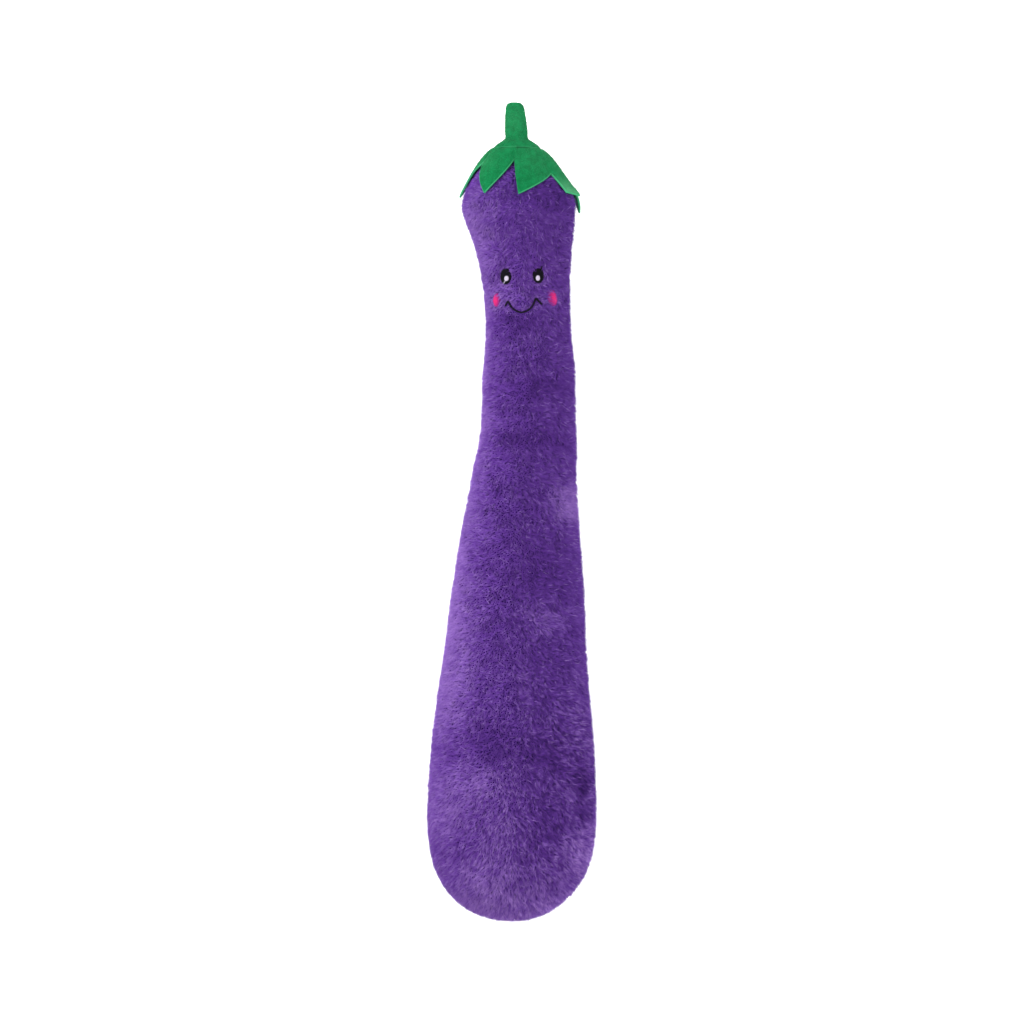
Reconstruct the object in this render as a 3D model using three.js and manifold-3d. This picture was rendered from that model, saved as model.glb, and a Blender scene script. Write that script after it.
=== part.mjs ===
// A plush eggplant toy that lies on its back, face up, stem towards +Y. Millimetres, +Z up.
// The origin is on the surface that the toy rests on, below the middle of its outline.
import * as THREE from "three";
import { LoftGeometry } from "three/addons/geometries/LoftGeometry.js";
import { mergeVertices } from "three/addons/utils/BufferGeometryUtils.js";
import Module from "manifold-3d";

// Body outline, seen from above, and its depth, from the belly to the head.
// lift is how high the underside is; below zero it is pressed flat by the surface.
const STATIONS = [
  { y: -166, left: -46.6, right: 46.6, depth: 72.6, lift: -5.8 },
  { y: -125, left: -43.5, right: 45.1, depth: 70.6, lift: -5.8 },
  { y: -81, left: -38.0, right: 41.4, depth: 64.6, lift: -5.4 },
  { y: -37, left: -31.9, right: 39.6, depth: 58.1, lift: -5.0 },
  { y: -4, left: -26.4, right: 37.4, depth: 52.8, lift: -4.6 },
  { y: 23, left: -21.4, right: 35.9, depth: 47.4, lift: -3.0 },
  { y: 40, left: -17.8, right: 35.8, depth: 43.8, lift: -1.2 },
  { y: 78, left: -16.0, right: 35.1, depth: 40.5, lift: 1.4 },
  { y: 100, left: -14.4, right: 33.1, depth: 39.5, lift: 2.0 },
  { y: 133, left: -17.6, right: 33.0, depth: 41.5, lift: 2.6 },
  { y: 152, left: -22.0, right: 34.1, depth: 44, lift: 2.6 },
  { y: 168, left: -27.0, right: 34.6, depth: 46, lift: 2.6 },
];
const ROUND_END_LENGTH = 58.7; // from the belly station to the tip of the round end
const ROUND_END_POWER = 2.2; // a little fuller than an ellipse, which has power 2
const CROWN_LENGTH = 36.6; // from the head station to the top of the head
const CROWN_POWER = 1.5;
const SEAM_SHARE = 0.5; // the side seam runs at this share of the depth
const PRESSED_EDGE = 1.6; // height over which the underside rounds into its flat strip

// Cloth and gaps
const PLUSH_THICKNESS = 3.5; // backing and pile together
const GAP = 0.3; // between pieces that touch
const CURVED_GAP = 0.4; // the same, between two curved pieces with different facets
const STUFFING_GAP = 0.5;
const FELT_THICKNESS = 1.7;

// Steps of the body's rows, and around half a section
const ROUND_END_STEPS = 9;
const MIDDLE_STEPS = 24;
const CROWN_STEPS = 8;
const HALF_SECTION_STEPS = 14;

// Calyx: its hole, and its lower edge of seven leaves as angle round the head, height and stand-off.
// Angle 0 is the right side, 90 the front and 270 the underside.
const CALYX_HOLE_HALF_WIDTH = 11.6;
const CALYX_ROWS = 6;
const CALYX_ROW_SPREAD = 1.35; // above 1 the rows are closer together near the hole
const CALYX_CURL = 3; // the higher, the nearer to its tip a leaf starts to stand off
const CALYX_DEGREES_A_COLUMN = 7.5;
const CALYX_DROP_A_COLUMN = 4.5; // of the lower edge, in millimetres
const CALYX_EDGE = [
  { angle: 18, y: 171.8, standOff: 2.8 },
  { angle: 35, y: 175.6, standOff: 0.9 },
  { angle: 46, y: 185.3, standOff: 0 },
  { angle: 89, y: 173.6, standOff: 0.6 },
  { angle: 94.6, y: 193.0, standOff: 0 },
  { angle: 123.6, y: 174.8, standOff: 0.6 },
  { angle: 150, y: 189.5, standOff: 0 },
  { angle: 186, y: 175.0, standOff: 1.4 },
  { angle: 218, y: 188.0, standOff: 0 },
  { angle: 245, y: 173.8, standOff: 0.3 },
  { angle: 268, y: 187.6, standOff: 0 },
  { angle: 300, y: 174.4, standOff: 0.2 },
  { angle: 322, y: 187.0, standOff: 0 },
  { angle: 348, y: 165.6, standOff: 1.8 },
  { angle: 364, y: 177.1, standOff: 0.6 },
];

// Stem, as radius and height of a turned profile that is then flattened like the head and leans left
const STEM_WALL = 1.2;
const STEM_LEAN = -0.055; // sideways move for each millimetre of height
const STEM_SIDES = 20;
const STEM_PROFILE = [
  { radius: 0, y: 224.7 },
  { radius: 2.9, y: 224.5 },
  { radius: 4.1, y: 223.6 },
  { radius: 4.75, y: 221.6 },
  { radius: 5.4, y: 216.0 },
  { radius: 6.15, y: 207.2 },
];
const STEM_FLARE = [
  { radius: 5.9, y: 205.8 },
  { radius: 7.2, y: 204.5 },
  { radius: 9.2, y: 203.0 },
  { radius: 11.0, y: 201.5 },
];
const STEM_FOOT_RADII = [11.0, 8.2, 5.6]; // of the points of its underside
const STEM_STUFFING_RADII = [4.35, 2.2, 0];

// Face: embroidered pads sunk in the pile. depth values are below the pile's surface.
const PAD_POINTS = 18;
const PAD_CROWN = 0.6; // share of a pad's size that its top is flat over
const PAD_DEPTHS = { bottom: 2.2, edge: 1.3, top: 0.9 };
const HIGHLIGHT_DEPTHS = { bottom: 0.6, edge: 0.35, top: 0.15 };
const SUNK_PADS = [
  { name: "eye_left", x: -2.9, y: 129.9, halfWidth: 3.2, halfHeight: 4.3 },
  { name: "eye_right", x: 15.1, y: 130.2, halfWidth: 3.2, halfHeight: 3.9 },
  { name: "cheek_left", x: -8.3, y: 116.6, halfWidth: 2.9, halfHeight: 4.4 },
  { name: "cheek_right", x: 22.8, y: 117.3, halfWidth: 2.9, halfHeight: 4.4 },
];
const HIGHLIGHTS = [
  { name: "eye_highlight_left", x: -2.4, y: 128.9, halfWidth: 1.45, halfHeight: 1.65 },
  { name: "eye_highlight_right", x: 14.3, y: 128.9, halfWidth: 1.45, halfHeight: 1.65 },
];
const MOUTH_THREAD = 1.1; // diameter of the stitched line
const MOUTH_DEPTH = 0.55; // of the line's centre below the pile's surface
const MOUTH_SIDES = 8;
const MOUTH_STEPS = 4; // between two points of its line
const MOUTH_RIGHT_CORNER = { x: 13.9, y: 116.9 };
const SMILE = [
  { x: -1.7, y: 115.9 },
  { x: 0.5, y: 112.2 },
  { x: 5.6, y: 109.6 },
  { x: 10.6, y: 111.6 },
  MOUTH_RIGHT_CORNER,
];
const MOUTH_LEFT_TICK = [{ x: -3.2, y: 113.2 }, SMILE[0]];
const MOUTH_RIGHT_TICK = [MOUTH_RIGHT_CORNER, { x: 17.0, y: 113.9 }];

const manifold = await Module();
manifold.setup();

// Materials
function finish(color, roughness) {
  return new THREE.MeshStandardMaterial({ color, roughness, metalness: 0 });
}
const purplePlush = finish(0x673aa0, 0.95);
const fibreFill = finish(0xf2efe6, 1);
const greenFelt = finish(0x1f8a54, 0.95);
const blackThread = finish(0x17131f, 0.5);
const whiteThread = finish(0xf0eef2, 0.5);
const pinkThread = finish(0xd23c86, 0.5);

// Keeps positions only, with shared vertices merged and triangles that came out as lines dropped
function closedGeometry(geometry) {
  const plain = new THREE.BufferGeometry().setAttribute("position", geometry.attributes.position);
  const merged = mergeVertices(plain.setIndex(geometry.index), 1e-3);
  const corners = [];
  for (let i = 0; i < merged.index.count; i += 3) {
    const [a, b, c] = [0, 1, 2].map((k) => merged.index.getX(i + k));
    if (a !== b && b !== c && c !== a) corners.push(a, b, c);
  }
  merged.setIndex(corners);
  return merged;
}

function solidOf(geometry) {
  return new manifold.Manifold(
    new manifold.Mesh({
      numProp: 3,
      vertProperties: geometry.attributes.position.array,
      triVerts: new Uint32Array(geometry.index.array),
    }),
  );
}

function geometryOf(solid) {
  const mesh = solid.getMesh();
  return new THREE.BufferGeometry()
    .setAttribute("position", new THREE.BufferAttribute(mesh.vertProperties, 3))
    .setIndex(new THREE.BufferAttribute(mesh.triVerts, 1));
}

// A smooth curve through one value of every station
function alongBody(key) {
  const curve = new THREE.CubicInterpolant(
    STATIONS.map((station) => station.y),
    STATIONS.map((station) => station[key]),
    1,
  );
  curve.settings = { endingStart: THREE.ZeroSlopeEnding, endingEnd: THREE.ZeroSlopeEnding };
  return (y) => curve.evaluate(y)[0];
}
const leftAt = alongBody("left");
const rightAt = alongBody("right");
const depthAt = alongBody("depth");
const liftAt = alongBody("lift");
const BELLY_Y = STATIONS[0].y;
const HEAD_Y = STATIONS[STATIONS.length - 1].y;

// The body's section at height y. swell is 1 between the belly and the head, and falls to 0 at the ends.
function sectionAt(y, swell, inset) {
  const clamped = THREE.MathUtils.clamp(y, BELLY_Y, HEAD_Y);
  const left = leftAt(clamped);
  const right = rightAt(clamped);
  const depth = depthAt(clamped);
  return {
    y,
    centre: (left + right) / 2,
    halfWidth: ((right - left) / 2 - inset) * swell,
    seam: liftAt(clamped) + depth * SEAM_SHARE,
    above: (depth * (1 - SEAM_SHARE) - inset) * swell,
    below: (depth * SEAM_SHARE - inset) * swell,
    floor: inset,
  };
}

// A height pressed flat where it would go through the floor, with a rounded edge
function pressed(z, floor) {
  const above = z - floor;
  if (above >= PRESSED_EDGE) return z;
  return above <= -PRESSED_EDGE ? floor : floor + (above + PRESSED_EDGE) ** 2 / (4 * PRESSED_EDGE);
}

// A point of a section, at an angle from its right side over the front. raise parts the panels at the seam.
function sectionPoint(section, angle, raise = 0) {
  const rise = Math.sin(angle);
  const reach = rise > 0 ? section.above : section.below;
  const z = pressed(section.seam + raise + reach * rise, section.floor);
  return new THREE.Vector3(section.centre + section.halfWidth * Math.cos(angle), section.y, z);
}

function roundedEnd(share, power) {
  return Math.max(0, 1 - share ** power) ** (1 / power);
}

// Every row of the body from the tip of the round end to the top of the head
function bodySections(inset) {
  const sections = [];
  const quarter = Math.PI / 2;
  for (let i = ROUND_END_STEPS; i > 0; i--) {
    const share = Math.sin((quarter * i) / ROUND_END_STEPS) ** (2 / ROUND_END_POWER);
    const y = BELLY_Y - (ROUND_END_LENGTH - inset) * share;
    sections.push(sectionAt(y, roundedEnd(share, ROUND_END_POWER), inset));
  }
  for (let i = 0; i <= MIDDLE_STEPS; i++) {
    sections.push(sectionAt(THREE.MathUtils.lerp(BELLY_Y, HEAD_Y, i / MIDDLE_STEPS), 1, inset));
  }
  for (let i = 1; i <= CROWN_STEPS; i++) {
    const share = Math.sin((quarter * i) / CROWN_STEPS) ** (2 / CROWN_POWER);
    const y = HEAD_Y + (CROWN_LENGTH - inset) * share;
    sections.push(sectionAt(y, roundedEnd(share, CROWN_POWER), inset));
  }
  return sections;
}

// Half of the body's plush, from seam to seam: side is 1 for the front and -1 for the back
function plushPanel(side) {
  const raise = (side * GAP) / 2;
  const inner = bodySections(PLUSH_THICKNESS);
  const rings = bodySections(0).map((outer, row) => {
    const outerPoints = [];
    const innerPoints = [];
    for (let i = 0; i <= HALF_SECTION_STEPS; i++) {
      const angle = (side * Math.PI * i) / HALF_SECTION_STEPS;
      outerPoints.push(sectionPoint(outer, angle, raise));
      innerPoints.push(sectionPoint(inner[row], angle, raise));
    }
    const ring = [...outerPoints, ...innerPoints.reverse()];
    return side > 0 ? ring.reverse() : ring;
  });
  return closedGeometry(new LoftGeometry(rings));
}

function stuffing() {
  const rings = bodySections(PLUSH_THICKNESS + STUFFING_GAP).map((section) => {
    const ring = [];
    for (let i = 0; i < 2 * HALF_SECTION_STEPS; i++) {
      ring.push(sectionPoint(section, (-Math.PI * i) / HALF_SECTION_STEPS));
    }
    return ring;
  });
  return closedGeometry(new LoftGeometry(rings));
}

// A point of the front plush at x and y, moved out by height along the plush's own normal
const PROBE = 0.2; // step for measuring a slope, in millimetres
const PROBE_TURN = 0.01; // and in radians
function frontSurface(x, y) {
  const section = sectionAt(y, 1, 0);
  const across = (x - section.centre) / section.halfWidth;
  return section.seam + GAP / 2 + section.above * Math.sqrt(Math.max(0, 1 - across * across));
}
function onFront(x, y, height) {
  const slopeX = (frontSurface(x + PROBE, y) - frontSurface(x - PROBE, y)) / (2 * PROBE);
  const slopeY = (frontSurface(x, y + PROBE) - frontSurface(x, y - PROBE)) / (2 * PROBE);
  const normal = new THREE.Vector3(-slopeX, -slopeY, 1).normalize();
  return new THREE.Vector3(x, y, frontSurface(x, y)).addScaledVector(normal, height);
}

// An oval that lies in the front plush, lofted through rings of its own outline
function ovalRing({ x, y, halfWidth, halfHeight }, height, scale = 1, grow = 0) {
  const points = [];
  for (let i = 0; i < PAD_POINTS; i++) {
    const angle = (2 * Math.PI * i) / PAD_POINTS;
    const across = (halfWidth * scale + grow) * Math.cos(angle);
    const along = (halfHeight * scale + grow) * Math.sin(angle);
    points.push(onFront(x + across, y + along, height));
  }
  return points;
}
function ovalPad(oval, { bottom, edge, top }) {
  const rings = [ovalRing(oval, -bottom), ovalRing(oval, -edge), ovalRing(oval, -top, PAD_CROWN)];
  return closedGeometry(new LoftGeometry(rings, { capStart: true, capEnd: true }));
}
// The pocket that the pad lies in, open at the top
function ovalPocket(oval, { bottom }) {
  const rings = [ovalRing(oval, -bottom - GAP, 1, GAP), ovalRing(oval, PLUSH_THICKNESS, 1, GAP)];
  return closedGeometry(new LoftGeometry(rings, { capStart: true, capEnd: true }));
}

// The stitched mouth line, or the channel cut for it, as three joined runs of thread
function mouthLine(grow = 0) {
  const radius = MOUTH_THREAD / 2 + grow;
  const section = new THREE.Shape();
  section.absarc(0, 0, radius, 0, 2 * Math.PI);
  const runs = [SMILE, MOUTH_LEFT_TICK, MOUTH_RIGHT_TICK].map((points) => {
    const path = new THREE.CatmullRomCurve3(points.map(({ x, y }) => onFront(x, y, -MOUTH_DEPTH)));
    const steps = MOUTH_STEPS * (points.length - 1);
    const extrusion = { extrudePath: path, steps, curveSegments: MOUTH_SIDES / 2, bevelEnabled: false };
    return solidOf(closedGeometry(new THREE.ExtrudeGeometry(section, extrusion)));
  });
  return runs.reduce((joined, run) => joined.add(run));
}

// The calyx: a felt cap on the head, lofted round it from one upright strip to the next
const HEAD = sectionAt(HEAD_Y, 1, 0);
function headSkin(y, angle) {
  const share = Math.max(0, (y - HEAD_Y) / CROWN_LENGTH);
  return sectionPoint(sectionAt(y, roundedEnd(share, CROWN_POWER), 0), angle);
}
function offHead(y, angle, height) {
  const along = headSkin(y + PROBE, angle).sub(headSkin(y - PROBE, angle));
  const around = headSkin(y, angle + PROBE_TURN).sub(headSkin(y, angle - PROBE_TURN));
  return headSkin(y, angle).addScaledVector(around.cross(along).normalize().negate(), height);
}
function calyx() {
  const holeShare = roundedEnd(CALYX_HOLE_HALF_WIDTH / HEAD.halfWidth, CROWN_POWER);
  const holeY = HEAD_Y + CROWN_LENGTH * holeShare;
  const strips = [];
  const addStrip = ({ angle, y, standOff }) => {
    const turned = THREE.MathUtils.degToRad(angle);
    const outside = [];
    const inside = [];
    for (let row = 0; row <= CALYX_ROWS; row++) {
      const down = row / CALYX_ROWS;
      const height = CURVED_GAP + standOff * down ** CALYX_CURL;
      const rowY = THREE.MathUtils.lerp(holeY, y, down ** CALYX_ROW_SPREAD);
      outside.push(offHead(rowY, turned, height + FELT_THICKNESS));
      inside.push(offHead(rowY, turned, height));
    }
    strips.push([...inside, ...outside.reverse()]);
  };
  CALYX_EDGE.forEach((from, i) => {
    const next = CALYX_EDGE[(i + 1) % CALYX_EDGE.length];
    const to = { ...next, angle: i + 1 < CALYX_EDGE.length ? next.angle : next.angle + 360 };
    const turnColumns = Math.ceil((to.angle - from.angle) / CALYX_DEGREES_A_COLUMN);
    const columns = Math.max(turnColumns, Math.ceil(Math.abs(to.y - from.y) / CALYX_DROP_A_COLUMN));
    for (let k = 0; k < columns; k++) {
      addStrip({
        angle: THREE.MathUtils.lerp(from.angle, to.angle, k / columns),
        y: THREE.MathUtils.lerp(from.y, to.y, k / columns),
        standOff: THREE.MathUtils.lerp(from.standOff, to.standOff, k / columns),
      });
    }
  });
  strips.push(strips[0]);
  return closedGeometry(new LoftGeometry(strips));
}

// The stem turns a profile, flattens it like the head and leans it
function crownHeight(radius) {
  return HEAD_Y + CROWN_LENGTH * roundedEnd(radius / HEAD.halfWidth, CROWN_POWER);
}
function turnedOnCrown(profile) {
  const points = profile.map(({ radius, y }) => new THREE.Vector2(radius, y));
  const geometry = new THREE.LatheGeometry(points, STEM_SIDES);
  const flatness = HEAD.above / HEAD.halfWidth;
  const crownTop = HEAD_Y + CROWN_LENGTH;
  const place = geometry.attributes.position;
  for (let i = 0; i < place.count; i++) {
    const lean = STEM_LEAN * Math.max(0, place.getY(i) - crownTop);
    place.setX(i, place.getX(i) + HEAD.centre + lean);
    place.setZ(i, place.getZ(i) * flatness + HEAD.seam);
  }
  return closedGeometry(geometry);
}
// The stem's profile moved in, without its point on the axis, from the top down
function stemWall(inset) {
  return STEM_PROFILE.slice(1).map(({ radius, y }) => ({ radius: radius - inset, y: y - inset / 2 }));
}
function overCrown(radii) {
  return radii.map((radius) => ({ radius, y: crownHeight(radius) + CURVED_GAP }));
}
function stemCover() {
  const innerTop = { radius: 0, y: STEM_PROFILE[0].y - STEM_WALL };
  const outside = [...STEM_PROFILE, ...STEM_FLARE];
  const inside = [...overCrown(STEM_FOOT_RADII), ...stemWall(STEM_WALL).reverse(), innerTop];
  return turnedOnCrown([...outside, ...inside].reverse());
}
function stemStuffing() {
  const inset = STEM_WALL + GAP;
  const top = { radius: 0, y: STEM_PROFILE[0].y - inset };
  return turnedOnCrown([top, ...stemWall(inset), ...overCrown(STEM_STUFFING_RADII)].reverse());
}

// The assembled toy
const toy = new THREE.Group();
function add(name, geometry, material) {
  const mesh = new THREE.Mesh(geometry, material);
  mesh.name = name;
  toy.add(mesh);
}

let frontPanel = solidOf(plushPanel(1));
for (const pad of SUNK_PADS) {
  add(pad.name, ovalPad(pad, PAD_DEPTHS), pad.name.startsWith("eye") ? blackThread : pinkThread);
  frontPanel = frontPanel.subtract(solidOf(ovalPocket(pad, PAD_DEPTHS)));
}
HIGHLIGHTS.forEach((highlight) => add(highlight.name, ovalPad(highlight, HIGHLIGHT_DEPTHS), whiteThread));
add("mouth", geometryOf(mouthLine()), blackThread);
frontPanel = frontPanel.subtract(mouthLine(GAP));

add("body_front_panel", geometryOf(frontPanel), purplePlush);
add("body_back_panel", plushPanel(-1), purplePlush);
add("body_stuffing", stuffing(), fibreFill);
add("calyx", calyx(), greenFelt);
add("stem_cover", stemCover(), greenFelt);
add("stem_stuffing", stemStuffing(), fibreFill);

export default toy;
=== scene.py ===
# A plush eggplant toy that lies on its back, face up: purple pile plush, a green felt calyx and stem,
# and a face in satin stitch. The shapes are worked out in millimetres and made in metres.
import math

import bmesh
import bpy
import numpy as np
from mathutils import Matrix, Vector, noise


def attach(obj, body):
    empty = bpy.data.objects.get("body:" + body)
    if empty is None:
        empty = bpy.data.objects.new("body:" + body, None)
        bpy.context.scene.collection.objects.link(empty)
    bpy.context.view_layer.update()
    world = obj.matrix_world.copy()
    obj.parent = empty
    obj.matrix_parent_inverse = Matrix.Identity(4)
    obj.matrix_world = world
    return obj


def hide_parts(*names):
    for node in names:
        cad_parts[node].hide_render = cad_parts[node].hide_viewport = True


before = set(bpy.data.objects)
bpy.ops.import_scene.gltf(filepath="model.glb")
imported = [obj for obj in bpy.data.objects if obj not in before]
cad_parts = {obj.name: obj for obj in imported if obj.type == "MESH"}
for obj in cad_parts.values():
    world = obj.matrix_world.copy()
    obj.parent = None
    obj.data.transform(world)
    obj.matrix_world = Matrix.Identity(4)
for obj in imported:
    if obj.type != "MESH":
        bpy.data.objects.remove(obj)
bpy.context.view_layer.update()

MM = 0.001

# Body form, as in the solids: height along the toy, left and right edge, depth, lift of the underside
STATIONS = np.array(
    [
        (-166, -46.6, 46.6, 72.6, -5.8),
        (-125, -43.5, 45.1, 70.6, -5.8),
        (-81, -38.0, 41.4, 64.6, -5.4),
        (-37, -31.9, 39.6, 58.1, -5.0),
        (-4, -26.4, 37.4, 52.8, -4.6),
        (23, -21.4, 35.9, 47.4, -3.0),
        (40, -17.8, 35.8, 43.8, -1.2),
        (78, -16.0, 35.1, 40.5, 1.4),
        (100, -14.4, 33.1, 39.5, 2.0),
        (133, -17.6, 33.0, 41.5, 2.6),
        (152, -22.0, 34.1, 44.0, 2.6),
        (168, -27.0, 34.6, 46.0, 2.6),
    ]
)
BELLY_Y = STATIONS[0, 0]
HEAD_Y = STATIONS[-1, 0]
ROUND_END_LENGTH = 58.7
ROUND_END_POWER = 2.2
CROWN_LENGTH = 36.6
CROWN_POWER = 1.5
PRESSED_EDGE = 1.6

# Body cloth: where the backing lies below the pile's tips, and how the stuffing swells it
SKIN_INSET = 4.6
SKIN_LEAST_SWELL = 1.9
SKIN_MOST_SWELL = 2.7
SKIN_PRESSURE = 40.0
SKIN_FRAMES = 20
BACKING_THICKNESS = 0.5
SEAM_REACH = 3.0
# How far to the right of the solids' middle the cloth lies, and to the left at the round end's tip
SKIN_SHIFT = 0.27
TIP_SHIFT = 0.8
TIP_REACH = 25.0
LUMP_HEIGHT = 0.6
LUMP_SIZE = 26.0
# Where the filling is packed tighter: height along the toy, reach and how far the cloth stands out more
PLUMP = ((168, 17, 1.2), (-198, 16, 0.7))
SKIN_END_STEPS = 16
SKIN_MIDDLE_STEPS = 72
SKIN_CROWN_STEPS = 12
SKIN_HALF_COLUMNS = 28

# Pile
LONG_BLADES_A_MM2 = 3.6
SHORT_BLADES_A_MM2 = 1.6
STRAY_BLADES_A_MM2 = 0.04
PILE_ZONE_EDGES = (-230, -159, -93, -15, 86, 230)

# Calyx edge as angle round the head, height and stand-off, as in the solids
CALYX_HOLE_HALF_WIDTH = 11.6
CALYX_EDGE = (
    (17, 171.8, 5.2),
    (33.0, 173.8, 2.4),
    (42, 184.6, 0.0),
    (88.4, 172.6, 0.6),
    (94.0, 192.3, 0.0),
    (125.0, 173.5, 0.6),
    (155, 191.8, 0.0),
    (171, 186.6, 0.4),
    (181, 180.0, 0.3),
    (190, 173.2, 1.4),
    (218, 188.0, 0.0),
    (245, 173.8, 0.3),
    (268, 187.6, 0.0),
    (300, 174.4, 0.2),
    (322, 187.0, 0.0),
    (348, 165.6, 3.8),
    (364, 177.1, 2.2),
)
CALYX_DOME = 4.1
CALYX_DOME_POWER = 0.36
CAP_SHIFT = -0.6
FELT_THICKNESS = 1.1
FELT_GAP = 0.4

# Stem profile as radius and height, from its tip to the rim of its foot
STEM_PROFILE = (
    (0.0, 225.9),
    (2.6, 225.8),
    (4.1, 225.2),
    (4.9, 223.9),
    (5.3, 221.8),
    (5.6, 219.5),
    (5.9, 216.0),
    (6.2, 212.0),
    (6.4, 208.9),
    (6.1, 207.2),
    (6.3, 206.1),
    (6.9, 205.3),
    (8.9, 204.0),
    (11.2, 202.6),
    (12.4, 201.3),
    (13.1, 200.6),
    (13.1, 200.2),
    (12.6, 200.1),
    (11.3, 200.1),
)
STEM_LEAN = -0.055

# Face, as places on the toy and half sizes
EYES = (("left", -3.6, 128.7, 3.1, 4.3), ("right", 15.4, 129.0, 3.2, 4.0))
CHEEKS = (("left", -9.2, 116.0, 1.9, 3.7), ("right", 23.6, 117.2, 3.0, 4.6))
HIGHLIGHTS = (("left", -2.8, 127.5, 1.1, 1.4), ("right", 14.9, 127.6, 1.1, 1.35))
LASH = ((16.4, 131.8), (17.3, 134.2))
GLINT_TAIL = ((-3.2, 126.6), (-4.4, 124.8))
SMILE = ((-1.9, 115.3), (0.4, 111.5), (5.5, 109.0), (10.6, 111.1), (13.8, 116.7))
SMILE_TICKS = (((-3.5, 112.6), (-1.9, 115.3)), ((13.8, 116.7), (17.1, 113.3)))
STITCH_CLEARANCE = {"eye": 0.92, "cheek": 0.76, "eye_highlight": 0.9}
# How far the top of a spot leans to the left, for its height
SPOT_LEAN = {"cheek_right": 0.16}
# What a cloth carries for its pile: lay, tone, how flat it lies, swirl, length and how tufted it is
NAP_LAYERS = ("nap", "shade", "lean", "swirl", "growth", "relief")

# Camera: what the photograph's frame takes in at the toy's outline
MM_A_PIXEL = 0.5501
PICTURE_PIXELS = 1024
PICTURE_CENTRE = (0.55, 0.0)
OUTLINE_HEIGHT = 30.0
LENS = 100.0
SENSOR = 36.0


def along_body(y):
    """Left, right, depth and lift at height y, on one smooth curve through the stations."""
    places = STATIONS[:, 0]
    values = STATIONS[:, 1:]
    last = len(places) - 1
    y = np.clip(y, places[0], places[-1])
    after = np.clip(np.searchsorted(places, y, side="right"), 1, last)
    before = after - 1
    earlier = np.where(before > 0, before - 1, after)
    later = np.minimum(after + 1, last)
    span = places[after] - places[before]
    span_before = np.where(before > 0, places[before] - places[earlier], span)
    span_after = np.where(after < last, places[later] - places[after], span)
    pull_before = span / span_before / 2
    pull_after = span / span_after / 2
    p = (y - places[before]) / span
    weights = (
        -pull_before * p * (1 - p) ** 2,
        1 + p * (pull_before - 0.5) - p**2 * (1.5 + 2 * pull_before) + p**3 * (1 + pull_before),
        0.5 * p + p**2 * (1.5 + pull_after) - p**3 * (1 + pull_after),
        pull_after * p**2 * (p - 1),
    )
    picked = (values[earlier], values[before], values[after], values[later])
    return sum(w[..., None] * v for w, v in zip(weights, picked))


def pressed(z, floor):
    """A height pressed flat where it would go through the floor, with a rounded edge."""
    above = z - floor
    rounded = floor + (above + PRESSED_EDGE) ** 2 / (4 * PRESSED_EDGE)
    return np.where(above >= PRESSED_EDGE, z, np.where(above <= -PRESSED_EDGE, floor, rounded))


def body_point(y, angle, swell=1.0, inset=0.0):
    """A point of the body's form, at an angle from its right side over the front."""
    y, angle, swell = np.broadcast_arrays(np.asarray(y, float), angle, swell)
    left, right, depth, lift = np.moveaxis(along_body(y), -1, 0)
    x = (left + right) / 2 + ((right - left) / 2 - inset) * swell * np.cos(angle)
    z = lift + depth / 2 + (depth / 2 - inset) * swell * np.sin(angle)
    return np.stack([x, y, pressed(z, inset)], axis=-1)


def rounded_end(share, power):
    return np.maximum(0, 1 - share**power) ** (1 / power)


def body_rows(inset, end_steps, middle_steps, crown_steps):
    """Height and swell of every row from the tip of the round end to the top of the head."""
    rows = []
    for i in range(end_steps, 0, -1):
        share = math.sin(math.pi / 2 * i / end_steps) ** (2 / ROUND_END_POWER)
        rows.append((BELLY_Y - (ROUND_END_LENGTH - inset) * share, rounded_end(share, ROUND_END_POWER)))
    for i in range(middle_steps + 1):
        rows.append((BELLY_Y + (HEAD_Y - BELLY_Y) * i / middle_steps, 1.0))
    for i in range(1, crown_steps + 1):
        share = math.sin(math.pi / 2 * i / crown_steps) ** (2 / CROWN_POWER)
        rows.append((HEAD_Y + (CROWN_LENGTH - inset) * share, rounded_end(share, CROWN_POWER)))
    return np.array(rows)


def seam_height(y):
    """Height of the side seams above the floor."""
    _, _, depth, lift = np.moveaxis(along_body(np.asarray(y, float)), -1, 0)
    return lift + depth / 2


def crown_swell(y):
    return rounded_end(np.clip((np.asarray(y, float) - HEAD_Y) / CROWN_LENGTH, 0, 1), CROWN_POWER)


def head_point(y, angle):
    return body_point(y, angle, crown_swell(y))


def off_head(y, angle, height):
    """A point at a height off the head's form, along its own outward direction."""
    along = head_point(y + 0.2, angle) - head_point(y - 0.2, angle)
    around = head_point(y, angle + 0.01) - head_point(y, angle - 0.01)
    out = -np.cross(around, along)
    out /= np.linalg.norm(out, axis=-1, keepdims=True)
    return head_point(y, angle) + out * np.asarray(height)[..., None]


def front_height(x, y):
    """Height above the floor of the plush's front at a place on it."""
    left, right, depth, lift = np.moveaxis(along_body(np.asarray(y, float)), -1, 0)
    across = (x - (left + right) / 2) / ((right - left) / 2)
    return lift + depth / 2 * (1 + np.sqrt(np.maximum(0, 1 - across**2)))


def on_front(x, y, height=0.0):
    """A point at a height off the plush's front, along its own outward direction."""
    x, y = np.broadcast_arrays(np.asarray(x, float), np.asarray(y, float))
    slope_x = (front_height(x + 0.2, y) - front_height(x - 0.2, y)) / 0.4
    slope_y = (front_height(x, y + 0.2) - front_height(x, y - 0.2)) / 0.4
    out = np.stack([-slope_x, -slope_y, np.ones_like(x)], axis=-1)
    out /= np.linalg.norm(out, axis=-1, keepdims=True)
    return np.stack([x, y, front_height(x, y)], axis=-1) + out * np.asarray(height, float)[..., None]


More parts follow.
